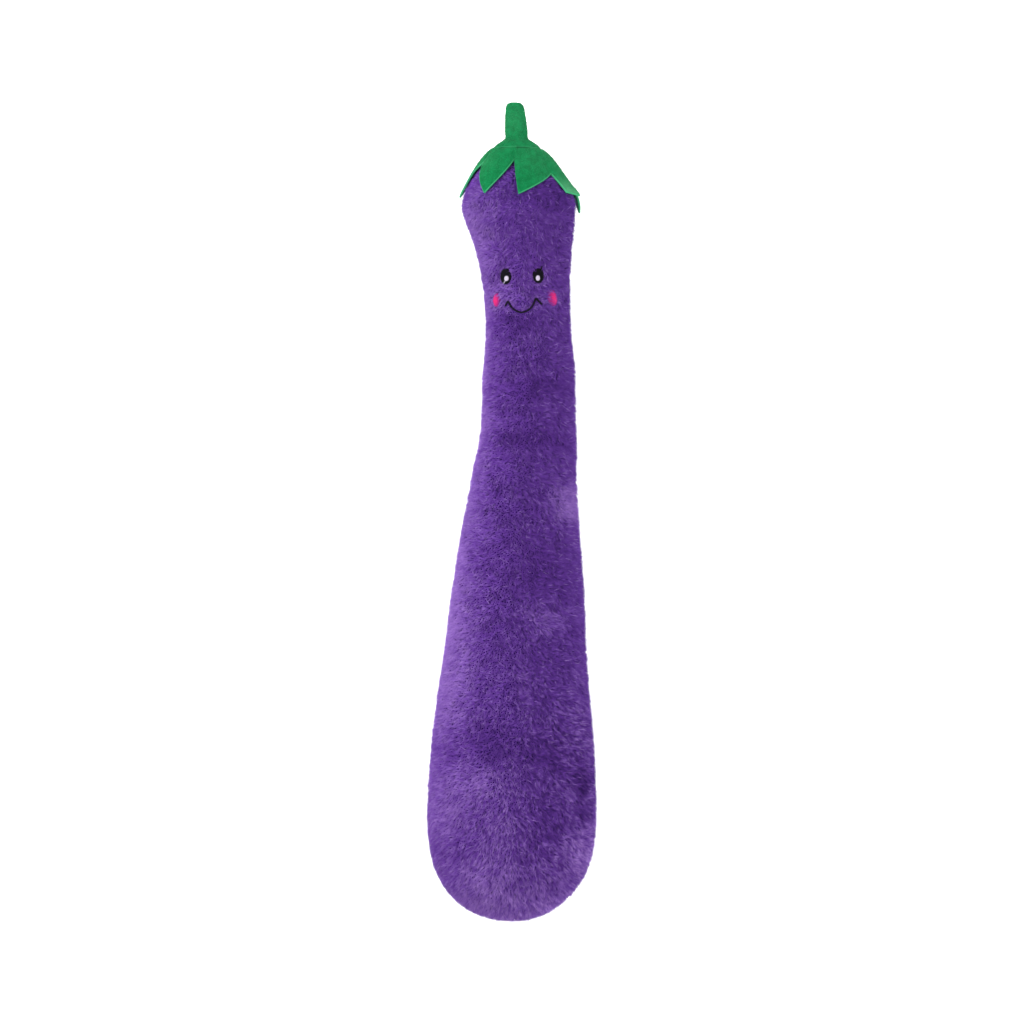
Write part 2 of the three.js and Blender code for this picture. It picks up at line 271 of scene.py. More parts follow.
def new_piece(name, points, faces, finish=None, smooth=True):
    """A mesh object from points in millimetres."""
    mesh = bpy.data.meshes.new(name)
    mesh.from_pydata((np.asarray(points) * MM).tolist(), [], faces)
    mesh.validate()
    if smooth:
        mesh.shade_smooth()
    piece = bpy.data.objects.new(name, mesh)
    bpy.context.scene.collection.objects.link(piece)
    if finish is not None:
        mesh.materials.append(finish)
    return piece


def applied(piece):
    """Takes the piece's modifiers into its mesh."""
    graph = bpy.context.evaluated_depsgraph_get()
    shown = piece.evaluated_get(graph)
    made = bpy.data.meshes.new_from_object(shown, preserve_all_data_layers=True, depsgraph=graph)
    old = piece.data
    piece.modifiers.clear()
    piece.data = made
    made.name = piece.name
    bpy.data.meshes.remove(old)
    return piece


def places_of(mesh):
    found = np.empty(len(mesh.vertices) * 3)
    mesh.vertices.foreach_get("co", found)
    return found.reshape(-1, 3)


def normals_of(mesh):
    found = np.empty(len(mesh.vertices) * 3)
    mesh.vertex_normals.foreach_get("vector", found)
    return found.reshape(-1, 3)


def store(mesh, name, values):
    """Keeps one value or vector a point under a name."""
    values = np.asarray(values, float)
    kind = "FLOAT_VECTOR" if values.ndim == 2 else "FLOAT"
    layer = mesh.attributes.new(name, kind, "POINT")
    layer.data.foreach_set("vector" if values.ndim == 2 else "value", values.ravel())


def grid_faces(rows, columns, closed):
    """Quads of a grid of points, row by row, closed round if asked."""
    faces = []
    for r in range(rows - 1):
        for c in range(columns if closed else columns - 1):
            d = (c + 1) % columns
            faces.append((r * columns + c, r * columns + d, (r + 1) * columns + d, (r + 1) * columns + c))
    return faces


class Tree:
    """Adds nodes to a node tree and joins them."""

    def __init__(self, tree):
        self.tree = tree

    def add(self, kind, inputs=None, **settings):
        node = self.tree.nodes.new(kind)
        for name, value in settings.items():
            setattr(node, name, value)
        for name, value in (inputs or {}).items():
            self.join(value, node.inputs[name])
        return node

    def join(self, value, socket):
        if isinstance(value, bpy.types.NodeSocket):
            self.tree.links.new(value, socket)
        elif value is not None:
            socket.default_value = value

    def math(self, operation, a, b=None, c=None):
        return self.add("ShaderNodeMath", {0: a, 1: b, 2: c}, operation=operation).outputs[0]

    def vector(self, operation, a, b=None):
        node = self.add("ShaderNodeVectorMath", {0: a}, operation=operation)
        if operation == "SCALE":
            self.join(b, node.inputs["Scale"])
        else:
            self.join(b, node.inputs[1])
        return node.outputs["Value" if operation in ("DOT_PRODUCT", "LENGTH", "DISTANCE") else "Vector"]

    def fit(self, value, low, high, to_low=0.0, to_high=1.0):
        inputs = {"Value": value, "From Min": low, "From Max": high, "To Min": to_low, "To Max": to_high}
        return self.add("ShaderNodeMapRange", inputs).outputs["Result"]

    def named(self, name, kind="FLOAT"):
        node = self.add("GeometryNodeInputNamedAttribute", {"Name": name}, data_type=kind)
        return node.outputs["Attribute"]

    def keep(self, geometry, name, value, kind="FLOAT", domain="POINT"):
        inputs = {"Geometry": geometry, "Name": name, "Value": value}
        settings = {"data_type": kind, "domain": domain}
        return self.add("GeometryNodeStoreNamedAttribute", inputs, **settings).outputs["Geometry"]

    def random(self, low, high, seed):
        node = self.add("FunctionNodeRandomValue", data_type="FLOAT")
        self.join(low, node.inputs[2])
        self.join(high, node.inputs[3])
        self.join(seed, node.inputs["Seed"])
        return node.outputs[1]

    def noise(self, size, place=None, detail=1.0, colour=False):
        inputs = {"Vector": place, "Scale": self.math("DIVIDE", 1.0, size), "Detail": detail}
        node = self.add("ShaderNodeTexNoise", inputs)
        return node.outputs["Color" if colour else "Fac"]


def geometry_tree(name, sockets):
    """A Geometry Nodes tree with named inputs; returns its Tree, its inputs and its output node."""
    tree = bpy.data.node_groups.new(name, "GeometryNodeTree")
    tree.interface.new_socket("Geometry", in_out="OUTPUT", socket_type="NodeSocketGeometry")
    for socket, kind in sockets:
        tree.interface.new_socket(socket, in_out="INPUT", socket_type="NodeSocket" + kind)
    steps = Tree(tree)
    given = steps.add("NodeGroupInput").outputs
    result = steps.add("NodeGroupOutput")
    return steps, given, result


def grown(piece, tree, values):
    """Runs a tree on the piece with these inputs and takes the result into its mesh."""
    modifier = piece.modifiers.new(tree.name, "NODES")
    modifier.node_group = tree
    for item in tree.interface.items_tree:
        if item.item_type == "SOCKET" and item.in_out == "INPUT" and item.name in values:
            modifier[item.identifier] = values[item.name]
    return applied(piece)


def pile_tree():
    """Blades of pile on a cloth that carries a nap direction and a shade."""
    sockets = (
        ("Cloth", "Geometry"),
        ("Lower edge", "Float"),
        ("Upper edge", "Float"),
        ("Long blades", "Float"),
        ("Short blades", "Float"),
        ("Stray blades", "Float"),
        ("Long length", "Float"),
        ("Short length", "Float"),
        ("Long half width", "Float"),
        ("Short half width", "Float"),
        ("Lean", "Float"),
        ("Turn", "Float"),
        ("Tuft size", "Float"),
        ("Tuft pull", "Float"),
        ("Tuft contrast", "Float"),
        ("Curl", "Float"),
        ("Depth", "Float"),
        ("Seed", "Int"),
        ("Cover", "Object"),
        ("Stitches", "Object"),
        ("Finish", "Material"),
    )
    t, given, result = geometry_tree("Pile", sockets)
    place = t.add("GeometryNodeInputPosition").outputs[0]
    y = t.add("ShaderNodeSeparateXYZ", {0: place}).outputs["Y"]
    above = t.math("GREATER_THAN", y, given["Lower edge"])
    below = t.math("LESS_THAN", y, given["Upper edge"])
    both = t.math("MULTIPLY", above, below)
    inputs = {"Geometry": given["Cloth"], "Selection": both}
    zone = t.add("GeometryNodeSeparateGeometry", inputs, domain="FACE").outputs["Selection"]
    cover = t.add("GeometryNodeObjectInfo", {"Object": given["Cover"]}).outputs["Geometry"]
    stitches = t.add("GeometryNodeObjectInfo", {"Object": given["Stitches"]}).outputs["Geometry"]

    def blade(segments):
        inputs = {
            "Vertices": 3,
            "Side Segments": segments,
            "Fill Segments": 1,
            "Radius Top": 0.0,
            "Radius Bottom": 1.0,
            "Depth": 1.0,
        }
        mesh = t.add("GeometryNodeMeshCone", inputs, fill_type="NGON").outputs["Mesh"]
        parts = t.add("ShaderNodeSeparateXYZ", {0: place})
        rise = parts.outputs["Z"]
        fuller = t.math("MULTIPLY_ADD", t.math("MULTIPLY", rise, t.math("SUBTRACT", 1.0, rise)), 2.2, 1.0)
        wide = t.add(
            "ShaderNodeCombineXYZ",
            {
                "X": t.math("MULTIPLY", parts.outputs["X"], fuller),
                "Y": t.math("MULTIPLY", parts.outputs["Y"], fuller),
                "Z": rise,
            },
        ).outputs[0]
        mesh = t.keep(mesh, "rise", rise)
        mesh = t.keep(mesh, "side", parts.outputs["X"])
        return t.add("GeometryNodeSetPosition", {"Geometry": mesh, "Position": wide}).outputs[0]

    def layer(count, length, half_width, segments, number, straying=0.35, lighter=0.0):
        seed = t.math("ADD", given["Seed"], number)
        inputs = {"Mesh": zone, "Density": count, "Seed": seed}
        scattered = t.add("GeometryNodeDistributePointsOnFaces", inputs, distribute_method="RANDOM")
        points = scattered.outputs["Points"]
        out = scattered.outputs["Normal"]
        points = t.keep(points, "out", out, "FLOAT_VECTOR")
        out = t.named("out", "FLOAT_VECTOR")
        # The nap turned by a slow swirl, a tuft's own turn and each blade's own turn
        swirl = t.math("SUBTRACT", t.noise(0.009, detail=2.0), 0.5)
        swirl = t.math("MULTIPLY", swirl, t.named("swirl"))
        tuft = t.add(
            "ShaderNodeTexVoronoi",
            {"Scale": t.math("DIVIDE", 1.0, given["Tuft size"]), "Randomness": 1.0},
        )
        tuft_parts = t.add("ShaderNodeSeparateXYZ", {0: tuft.outputs["Color"]}).outputs
        tuft_turn = t.math("SUBTRACT", tuft_parts["X"], 0.5)
        tuft_tone = t.math("SUBTRACT", tuft_parts["Y"], 0.5)
        own_turn = t.random(-straying, straying, t.math("ADD", seed, 11))
        turn = t.math("MULTIPLY_ADD", swirl, 5.0, tuft_turn)
        turn = t.math("MULTIPLY", turn, given["Turn"])
        turn = t.math("ADD", turn, own_turn)
        nap = t.named("nap", "FLOAT_VECTOR")
        inputs = {"Vector": nap, "Axis": out, "Angle": turn}
        lay = t.add("ShaderNodeVectorRotate", inputs, rotation_type="AXIS_ANGLE").outputs[0]
        lean = t.math("MULTIPLY", given["Lean"], t.named("lean"))
        lean = t.math("MULTIPLY_ADD", t.math("SUBTRACT", t.noise(0.005), 0.5), 0.36, lean)
        lean = t.math("ADD", lean, t.random(-0.12, 0.12, t.math("ADD", seed, 23)))
        upright = t.math("SUBTRACT", 1.0, lean)
        aim = t.vector("ADD", t.vector("SCALE", out, upright), t.vector("SCALE", lay, lean))
        aim = t.vector("NORMALIZE", aim)
        long = t.math("MULTIPLY", length, t.random(0.72, 1.12, t.math("ADD", seed, 31)))
        long = t.math("MULTIPLY", long, t.fit(t.noise(0.0035), 0.3, 0.7, 0.85, 1.1))
        long = t.math("MULTIPLY", long, t.named("growth"))
        # Shorter under a cover that lies on the cloth, and none where it touches
        ray = t.add(
            "GeometryNodeRaycast",
            {"Target Geometry": cover, "Ray Direction": out, "Ray Length": 0.012},
        )
        room = t.math("MULTIPLY", ray.outputs["Hit Distance"], 1.05)
        room = t.math("MINIMUM", long, room)
        covered = ray.outputs["Is Hit"]
        long = t.add("GeometryNodeSwitch", {0: covered, 1: long, 2: room}, input_type="FLOAT").outputs[0]
        tight = t.math("LESS_THAN", ray.outputs["Hit Distance"], 0.0008)
        tight = t.math("MULTIPLY", tight, covered)
        # None where the stitches are, and short beside them
        beside = t.vector("ADD", place, t.vector("SCALE", out, given["Depth"]))
        near = t.add("GeometryNodeProximity", {"Target": stitches, "Source Position": beside})
        near = near.outputs["Distance"]
        sewn = t.math("LESS_THAN", near, 0.00042)
        long = t.math("MULTIPLY", long, t.fit(near, 0.0004, 0.0024, 0.6, 1.0))
        dropped = t.math("MAXIMUM", tight, sewn)
        tone = t.named("shade")
        tone = t.math("ADD", tone, t.math("MULTIPLY", t.math("SUBTRACT", t.noise(0.0045, detail=2.0), 0.5), 0.34))
        relief = t.named("relief")
        tuft_tone = t.math("MULTIPLY", tuft_tone, relief)
        tone = t.math("ADD", tone, t.math("MULTIPLY", tuft_tone, given["Tuft contrast"]))
        tone = t.math("ADD", tone, t.random(-0.08, 0.08, t.math("ADD", seed, 47)))
        tone = t.math("ADD", tone, t.fit(near, 0.0006, 0.003, 0.16, 0.0))
        tone = t.math("ADD", tone, lighter)
        tone = t.add("ShaderNodeClamp", {"Value": tone, "Min": 0.0, "Max": 1.0}).outputs[0]
        points = t.keep(points, "lay", lay, "FLOAT_VECTOR")
        points = t.keep(points, "aim", aim, "FLOAT_VECTOR")
        points = t.keep(points, "long", long)
        points = t.keep(points, "tone", tone)
        gather = t.vector("SCALE", t.vector("SUBTRACT", tuft.outputs["Position"], place), relief)
        points = t.keep(points, "gather", gather, "FLOAT_VECTOR")
        points = t.keep(points, "dropped", dropped)
        inputs = {"Geometry": points, "Selection": t.named("dropped")}
        points = t.add("GeometryNodeDeleteGeometry", inputs, domain="POINT").outputs[0]
        aim = t.named("aim", "FLOAT_VECTOR")
        turned = t.add("FunctionNodeAlignRotationToVector", {"Vector": aim}, axis="Z").outputs[0]
        inputs = {"X": half_width, "Y": half_width, "Z": t.named("long")}
        size = t.add("ShaderNodeCombineXYZ", inputs).outputs[0]
        inputs = {"Points": points, "Instance": blade(segments), "Rotation": turned, "Scale": size}
        blades = t.add("GeometryNodeInstanceOnPoints", inputs).outputs[0]
        blades = t.add("GeometryNodeRealizeInstances", {"Geometry": blades}).outputs[0]
        # Bent over along the nap and gathered to the middle of the tuft
        rise = t.named("rise")
        squared = t.math("MULTIPLY", rise, rise)
        long = t.named("long")
        bend = t.vector("SUBTRACT", t.named("lay", "FLOAT_VECTOR"), t.named("out", "FLOAT_VECTOR"))
        bend = t.vector("SCALE", bend, t.math("MULTIPLY", t.math("MULTIPLY", long, given["Curl"]), squared))
        pull = t.math("MULTIPLY", given["Tuft pull"], squared)
        gather = t.vector("SCALE", t.named("gather", "FLOAT_VECTOR"), pull)
        inputs = {"Geometry": blades, "Offset": t.vector("ADD", bend, gather)}
        return t.add("GeometryNodeSetPosition", inputs).outputs[0]

    joined = t.add("GeometryNodeJoinGeometry")
    long_layer = layer(given["Long blades"], given["Long length"], given["Long half width"], 1, 0)
    short_layer = layer(given["Short blades"], given["Short length"], given["Short half width"], 1, 100)
    stray_length = t.math("MULTIPLY", given["Long length"], 1.25)
    stray_width = t.math("MULTIPLY", given["Long half width"], 0.9)
    stray_layer = layer(given["Stray blades"], stray_length, stray_width, 3, 200, 1.4, 0.44)
    t.join(short_layer, joined.inputs[0])
    t.join(long_layer, joined.inputs[0])
    t.join(stray_layer, joined.inputs[0])
    blades = joined.outputs[0]
    # Nothing goes through the floor
    parts = t.add("ShaderNodeSeparateXYZ", {0: place}).outputs
    inputs = {"X": parts["X"], "Y": parts["Y"], "Z": t.math("MAXIMUM", parts["Z"], 0.00015)}
    kept = t.add("ShaderNodeCombineXYZ", inputs).outputs[0]
    blades = t.add("GeometryNodeSetPosition", {"Geometry": blades, "Position": kept}).outputs[0]
    # The map that the finish reads: shade across it, and height along the blade up it
    across = t.fit(t.named("tone"), 0.0, 1.0, 0.03, 0.97)
    across = t.math("MULTIPLY_ADD", t.named("side"), 0.004, across)
    up = t.fit(t.named("rise"), 0.0, 1.0, 0.03, 0.97)
    spot = t.add("ShaderNodeCombineXYZ", {"X": across, "Y": up}).outputs[0]
    blades = t.keep(blades, "OFBake", spot, "FLOAT2", "CORNER")
    blades = t.add("GeometryNodeSetShadeSmooth", {"Geometry": blades}).outputs[0]
    blades = t.add("GeometryNodeRealizeInstances", {"Geometry": blades}).outputs[0]
    inputs = {"Geometry": blades, "Material": given["Finish"]}
    t.join(t.add("GeometryNodeSetMaterial", inputs).outputs[0], result.inputs[0])
    return t.tree


def satin_tree():
    """Rows of thread laid over a padded spot, from edge to edge."""
    sockets = (
        ("Pad", "Geometry"),
        ("Centre", "Vector"),
        ("Span", "Float"),
        ("Pitch", "Float"),
        ("Thread", "Float"),
        ("Turn", "Float"),
        ("Raggedness", "Float"),
        ("Seed", "Int"),
        ("Finish", "Material"),
    )
    t, given, result = geometry_tree("Satin stitch", sockets)
    place = t.add("GeometryNodeInputPosition").outputs[0]
    half = t.math("MULTIPLY", given["Span"], 0.5)
    rows = t.math("ADD", t.math("DIVIDE", given["Span"], given["Pitch"]), 1.0)
    inputs = {
        "Count": rows,
        "Start Location": t.add("ShaderNodeCombineXYZ", {"Y": t.math("MULTIPLY", half, -1.0)}).outputs[0],
        "Offset": t.add("ShaderNodeCombineXYZ", {"Y": given["Pitch"]}).outputs[0],
    }
    line = t.add("GeometryNodeMeshLine", inputs, mode="OFFSET").outputs[0]
    inputs = {
        "Start": t.add("ShaderNodeCombineXYZ", {"X": t.math("MULTIPLY", half, -1.0)}).outputs[0],
        "End": t.add("ShaderNodeCombineXYZ", {"X": half}).outputs[0],
    }
    thread = t.add("GeometryNodeCurvePrimitiveLine", inputs, mode="POINTS").outputs[0]
    threads = t.add("GeometryNodeInstanceOnPoints", {"Points": line, "Instance": thread}).outputs[0]
    threads = t.add("GeometryNodeRealizeInstances", {"Geometry": threads}).outputs[0]
    threads = t.add("GeometryNodeResampleCurve", {"Curve": threads, "Count": 30}, mode="COUNT").outputs[0]
    shaken = t.noise(0.0009, colour=True)
    shaken = t.vector("SCALE", t.vector("SUBTRACT", shaken, (0.5, 0.5, 0.5)), given["Raggedness"])
    threads = t.add("GeometryNodeSetPosition", {"Geometry": threads, "Offset": shaken}).outputs[0]
    turn = t.add("ShaderNodeCombineXYZ", {"Z": given["Turn"]}).outputs[0]
    inputs = {"Geometry": threads, "Translation": given["Centre"], "Rotation": turn}
    threads = t.add("GeometryNodeTransform", inputs).outputs[0]
    inputs = {"Target Geometry": given["Pad"], "Ray Direction": (0.0, 0.0, -1.0), "Ray Length": 0.05}
    ray = t.add("GeometryNodeRaycast", inputs)
    missed = t.math("LESS_THAN", ray.outputs["Is Hit"], 0.5)
    threads = t.keep(threads, "hit", ray.outputs["Hit Position"], "FLOAT_VECTOR")
    threads = t.keep(threads, "missed", missed)
    inputs = {"Geometry": threads, "Selection": t.named("missed")}
    threads = t.add("GeometryNodeDeleteGeometry", inputs, domain="POINT").outputs[0]
    inputs = {"Geometry": threads, "Position": t.named("hit", "FLOAT_VECTOR")}
    threads = t.add("GeometryNodeSetPosition", inputs).outputs[0]
    section = t.add("GeometryNodeCurvePrimitiveCircle", {"Resolution": 6, "Radius": given["Thread"]})
    inputs = {"Curve": threads, "Profile Curve": section.outputs[0], "Fill Caps": True}
    tubes = t.add("GeometryNodeCurveToMesh", inputs).outputs[0]
    joined = t.add("GeometryNodeJoinGeometry")
    t.join(given["Pad"], joined.inputs[0])
    t.join(tubes, joined.inputs[0])
    whole = t.add("GeometryNodeRealizeInstances", {"Geometry": joined.outputs[0]}).outputs[0]
    inputs = {"Geometry": whole, "Material": given["Finish"]}
    t.join(t.add("GeometryNodeSetMaterial", inputs).outputs[0], result.inputs[0])
    return t.tree


# Finishes
def finish_of(name, roughness, sheen=0.0, sheen_roughness=0.5, sheen_tint=(1, 1, 1, 1), specular=0.3):
    """A new material; returns it with its Tree and its shader."""
    material = bpy.data.materials.new(name)
    material.use_nodes = True
    steps = Tree(material.node_tree)
    shader = next(n for n in material.node_tree.nodes if n.type == "BSDF_PRINCIPLED")
    shader.inputs["Roughness"].default_value = roughness
    shader.inputs["Sheen Weight"].default_value = sheen
    shader.inputs["Sheen Roughness"].default_value = sheen_roughness
    shader.inputs["Sheen Tint"].default_value = sheen_tint
    shader.inputs["Specular IOR Level"].default_value = specular
    return material, steps, shader


def linear(r, g, b):
    """A colour given as the 0 to 255 values that a picture shows."""
    def one(v):
        v /= 255
        return v / 12.92 if v <= 0.04045 else ((v + 0.055) / 1.055) ** 2.4
    return (one(r), one(g), one(b), 1.0)


def ramp(steps, value, stops):
    """Colours by value; stops are (place, colour)."""
    node = steps.add("ShaderNodeValToRGB", {"Fac": value})
    elements = node.color_ramp.elements
    elements[0].position, elements[0].color = stops[0]
    elements[1].position, elements[1].color = stops[-1]
    for place, colour in stops[1:-1]:
        elements.new(place).color = colour
    return node.outputs["Color"]


def mixed(steps, share, a, b, kind="MIX"):
    node = steps.add("ShaderNodeMix", data_type="RGBA", blend_type=kind)
    steps.join(share, node.inputs["Factor"])
    steps.join(a, node.inputs[6])
    steps.join(b, node.inputs[7])
    return node.outputs[2]


def object_place(steps):
    return steps.add("ShaderNodeTexCoord").outputs["Object"]


def blade_finish(name, dark, middle, light, painted_root_shade, roughness, sheen, tint):
    """Pile whose map holds its shade across and its height up."""
    material, steps, shader = finish_of(name, roughness, sheen, 0.45, tint, 0.12)
    spot = steps.add("ShaderNodeUVMap", uv_map="OFBake").outputs["UV"]
    parts = steps.add("ShaderNodeSeparateXYZ", {0: spot}).outputs
    colour = ramp(steps, parts["X"], ((0.0, dark), (0.5, middle), (1.0, light)))
    # Darker toward each blade's root, as painted shade deep in the pile, and painted light at the tip
    depth = steps.fit(parts["Y"], 0.0, 0.9, painted_root_shade, 1.1)
    grey = steps.add("ShaderNodeCombineColor", {0: depth, 1: depth, 2: depth}).outputs[0]
    steps.join(mixed(steps, 1.0, colour, grey, "MULTIPLY"), shader.inputs["Base Color"])
    return material


def weave_group():
    """Crossed threads of a woven cloth, as a height."""
    group = bpy.data.node_groups.new("Woven backing", "ShaderNodeTree")
    group.interface.new_socket("Place", in_out="INPUT", socket_type="NodeSocketVector")
    group.interface.new_socket("Thread size", in_out="INPUT", socket_type="NodeSocketFloat")
    group.interface.new_socket("Height", in_out="OUTPUT", socket_type="NodeSocketFloat")
    steps = Tree(group)
    given = steps.add("NodeGroupInput").outputs
    result = steps.add("NodeGroupOutput")
    scaled = steps.vector("SCALE", given["Place"], steps.math("DIVIDE", math.pi, given["Thread size"]))
    parts = steps.add("ShaderNodeSeparateXYZ", {0: scaled}).outputs
    across = steps.math("ABSOLUTE", steps.math("SINE", parts["X"]))
    along = steps.math("ABSOLUTE", steps.math("SINE", parts["Y"]))
    steps.join(steps.math("MULTIPLY", across, along), result.inputs["Height"])
    return group


def fibre_group():
    """Matted short fibres, as a height and a mottle."""
    group = bpy.data.node_groups.new("Matted fibres", "ShaderNodeTree")
    group.interface.new_socket("Place", in_out="INPUT", socket_type="NodeSocketVector")
    group.interface.new_socket("Fibre size", in_out="INPUT", socket_type="NodeSocketFloat")
    group.interface.new_socket("Height", in_out="OUTPUT", socket_type="NodeSocketFloat")
    group.interface.new_socket("Mottle", in_out="OUTPUT", socket_type="NodeSocketFloat")
    steps = Tree(group)
    given = steps.add("NodeGroupInput").outputs
    result = steps.add("NodeGroupOutput")
    fine = steps.noise(given["Fibre size"], given["Place"], 3.0)
    wide = steps.noise(steps.math("MULTIPLY", given["Fibre size"], 5.0), given["Place"], 3.0)
    steps.join(fine, result.inputs["Height"])
    steps.join(wide, result.inputs["Mottle"])
    return group


weave = weave_group()
fibres = fibre_group()

PLUSH_TINT = linear(170, 118, 228)
plush_pile = blade_finish(
    "Purple pile",
    linear(46, 16, 86),
    linear(100, 57, 152),
    linear(168, 129, 209),
    0.8,
    0.85,
    0.05,
    PLUSH_TINT,
)
felt_fuzz = blade_finish(
    "Green felt fuzz",
    linear(2, 84, 42),
    linear(20, 122, 72),
    linear(84, 164, 120),
    0.9,
    0.9,
    0.15,
    linear(120, 205, 160),
)


def backing_finish():
    material, steps, shader = finish_of("Purple backing", 0.9, 0.2, 0.5, PLUSH_TINT, 0.15)
    place = object_place(steps)
    woven = steps.add("ShaderNodeGroup", node_tree=weave)
    steps.join(place, woven.inputs["Place"])
    woven.inputs["Thread size"].default_value = 0.0007
    colour = mixed(steps, woven.outputs["Height"], linear(66, 34, 112), linear(94, 54, 146))
    steps.join(colour, shader.inputs["Base Color"])
    bump = steps.add("ShaderNodeBump", {"Strength": 0.4, "Distance": 0.0002, "Height": woven.outputs["Height"]})
    steps.join(bump.outputs[0], shader.inputs["Normal"])
    return material


def felt_finish(name, dark, light, rubbed, edge):
    material, steps, shader = finish_of(name, 0.95, 0.12, 0.5, linear(90, 200, 140), 0.08)
    matted = steps.add("ShaderNodeGroup", node_tree=fibres)
    steps.join(object_place(steps), matted.inputs["Place"])
    matted.inputs["Fibre size"].default_value = 0.0006
    mottle = steps.fit(matted.outputs["Mottle"], 0.35, 0.65)
    speckle = steps.fit(matted.outputs["Height"], 0.3, 0.7)
    share = steps.math("MULTIPLY_ADD", speckle, 0.6, steps.math("MULTIPLY", mottle, 0.4))
    colour = mixed(steps, share, dark, light)
    paleness = steps.add("ShaderNodeAttribute", attribute_name="rubbed").outputs["Fac"]
    colour = mixed(steps, paleness, colour, rubbed)
    cut = steps.add("ShaderNodeAttribute", attribute_name="cut").outputs["Fac"]
    colour = mixed(steps, cut, colour, edge)
    steps.join(colour, shader.inputs["Base Color"])
    inputs = {"Strength": 0.6, "Distance": 0.00025, "Height": matted.outputs["Height"]}
    steps.join(steps.add("ShaderNodeBump", inputs).outputs[0], shader.inputs["Normal"])
    return material


def thread_finish(name, dark, light, roughness, rim=None):
    material, steps, shader = finish_of(name, roughness, specular=0.1)
    matted = steps.add("ShaderNodeGroup", node_tree=fibres)
    steps.join(object_place(steps), matted.inputs["Place"])
    matted.inputs["Fibre size"].default_value = 0.0002
    share = steps.fit(matted.outputs["Height"], 0.3, 0.7)
    colour = mixed(steps, share, dark, light)
    # Darker magenta toward the edge, more on the left side: the pile's colour fading in at the soft edge, and
    # painted shade on the left side
    if rim is not None:
        out = steps.add("ShaderNodeAttribute", attribute_name="outwards").outputs["Fac"]
        colour = mixed(steps, steps.fit(out, 0.35, 1.0, 0.0, 0.75), colour, rim)
    steps.join(colour, shader.inputs["Base Color"])
    inputs = {"Strength": 0.3, "Distance": 0.00005, "Height": matted.outputs["Height"]}
    steps.join(steps.add("ShaderNodeBump", inputs).outputs[0], shader.inputs["Normal"])
    return material


def fill_finish():
    material, steps, shader = finish_of("Fibre fill", 1.0, 0.2, 0.5, (1, 1, 1, 1), 0.1)
    matted = steps.add("ShaderNodeGroup", node_tree=fibres)
    steps.join(object_place(steps), matted.inputs["Place"])
    matted.inputs["Fibre size"].default_value = 0.0015
    colour = mixed(steps, matted.outputs["Mottle"], linear(222, 218, 208), linear(248, 246, 240))
    steps.join(colour, shader.inputs["Base Color"])
    inputs = {"Strength": 0.8, "Distance": 0.0008, "Height": matted.outputs["Height"]}
    steps.join(steps.add("ShaderNodeBump", inputs).outputs[0], shader.inputs["Normal"])
    return material


backing = backing_finish()
felt = felt_finish(
    "Green felt", linear(1, 80, 40), linear(12, 116, 66), linear(78, 146, 104), linear(58, 150, 100)
)
black_thread = thread_finish("Black thread", linear(2, 1, 4), linear(9, 7, 17), 0.75)
mouth_thread = thread_finish("Dark mouth thread", linear(4, 1, 9), linear(18, 7, 28), 0.75)
white_thread = thread_finish("White thread", linear(150, 140, 162), linear(196, 188, 204), 0.5)
pink_thread = thread_finish("Pink thread", linear(166, 20, 86), linear(208, 46, 116), 0.6, linear(110, 26, 104))
fill = fill_finish()

# Patches of the pile that are lighter or darker, partly brushed nap and partly painted light and painted shade:
# place, half width, half height and change
PATCH_WOBBLE = 5.0
PATCH_WOBBLE_SIZE = 13.0
PATCH_CRISPNESS = 1.4
BRUSHED_AND_PAINTED_LIGHT = (
    # The side away from the middle, lighter from the head to the round end: painted light on the side the key lamp
    # falls on, and brushed nap
    (-42, -150, 18, 84, 0.07),
    (-34, -45, 15, 75, 0.27),
    (-24, 66, 13, 66, 0.33),
    (-22, 152, 15, 40, 0.20),
    # Painted shadow under the calyx's left leaf
    (-27, 180, 9, 12, -0.20),
    # Lighter patches: brushed nap and painted light
    (31, 4, 8, 12, 0.28),
    (30, -104, 6, 14, 0.07),
    (17, -56, 12, 9, 0.16),
    (36, -185, 9, 13, 0.27),
    (-18, -146, 18, 10, 0.18),
    (-31, -165, 10, 12, 0.12),
    (-6, -168, 14, 13, 0.12),
    (-12, -194, 15, 14, 0.20),
    (0, -214, 42, 14, 0.20),
    # Painted light on the rim of a dent
    (33, -154, 3, 12, 0.14),
    (-4, 119, 10, 10, 0.08),
    # Darker patches, with painted shade in creases and dents
    (-33, -130, 7, 7, -0.16),
    (1, 105, 14, 5, -0.14),
    (18, 68, 17, 6, -0.16),
    (8, 41, 23, 4, -0.14),
    (19, -37, 12, 17, -0.12),
    (-12, -122, 12, 8, -0.20),
    (17, -130, 14, 13, -0.16),
    (20, -165, 12, 12, -0.18),
    # Painted shade in two dents
    (38, -146, 6, 8, -0.30),
    (39, -161, 6, 6, -0.20),
    (22, -90, 11, 22, -0.08),
    (19, 174, 14, 10, -0.12),
)


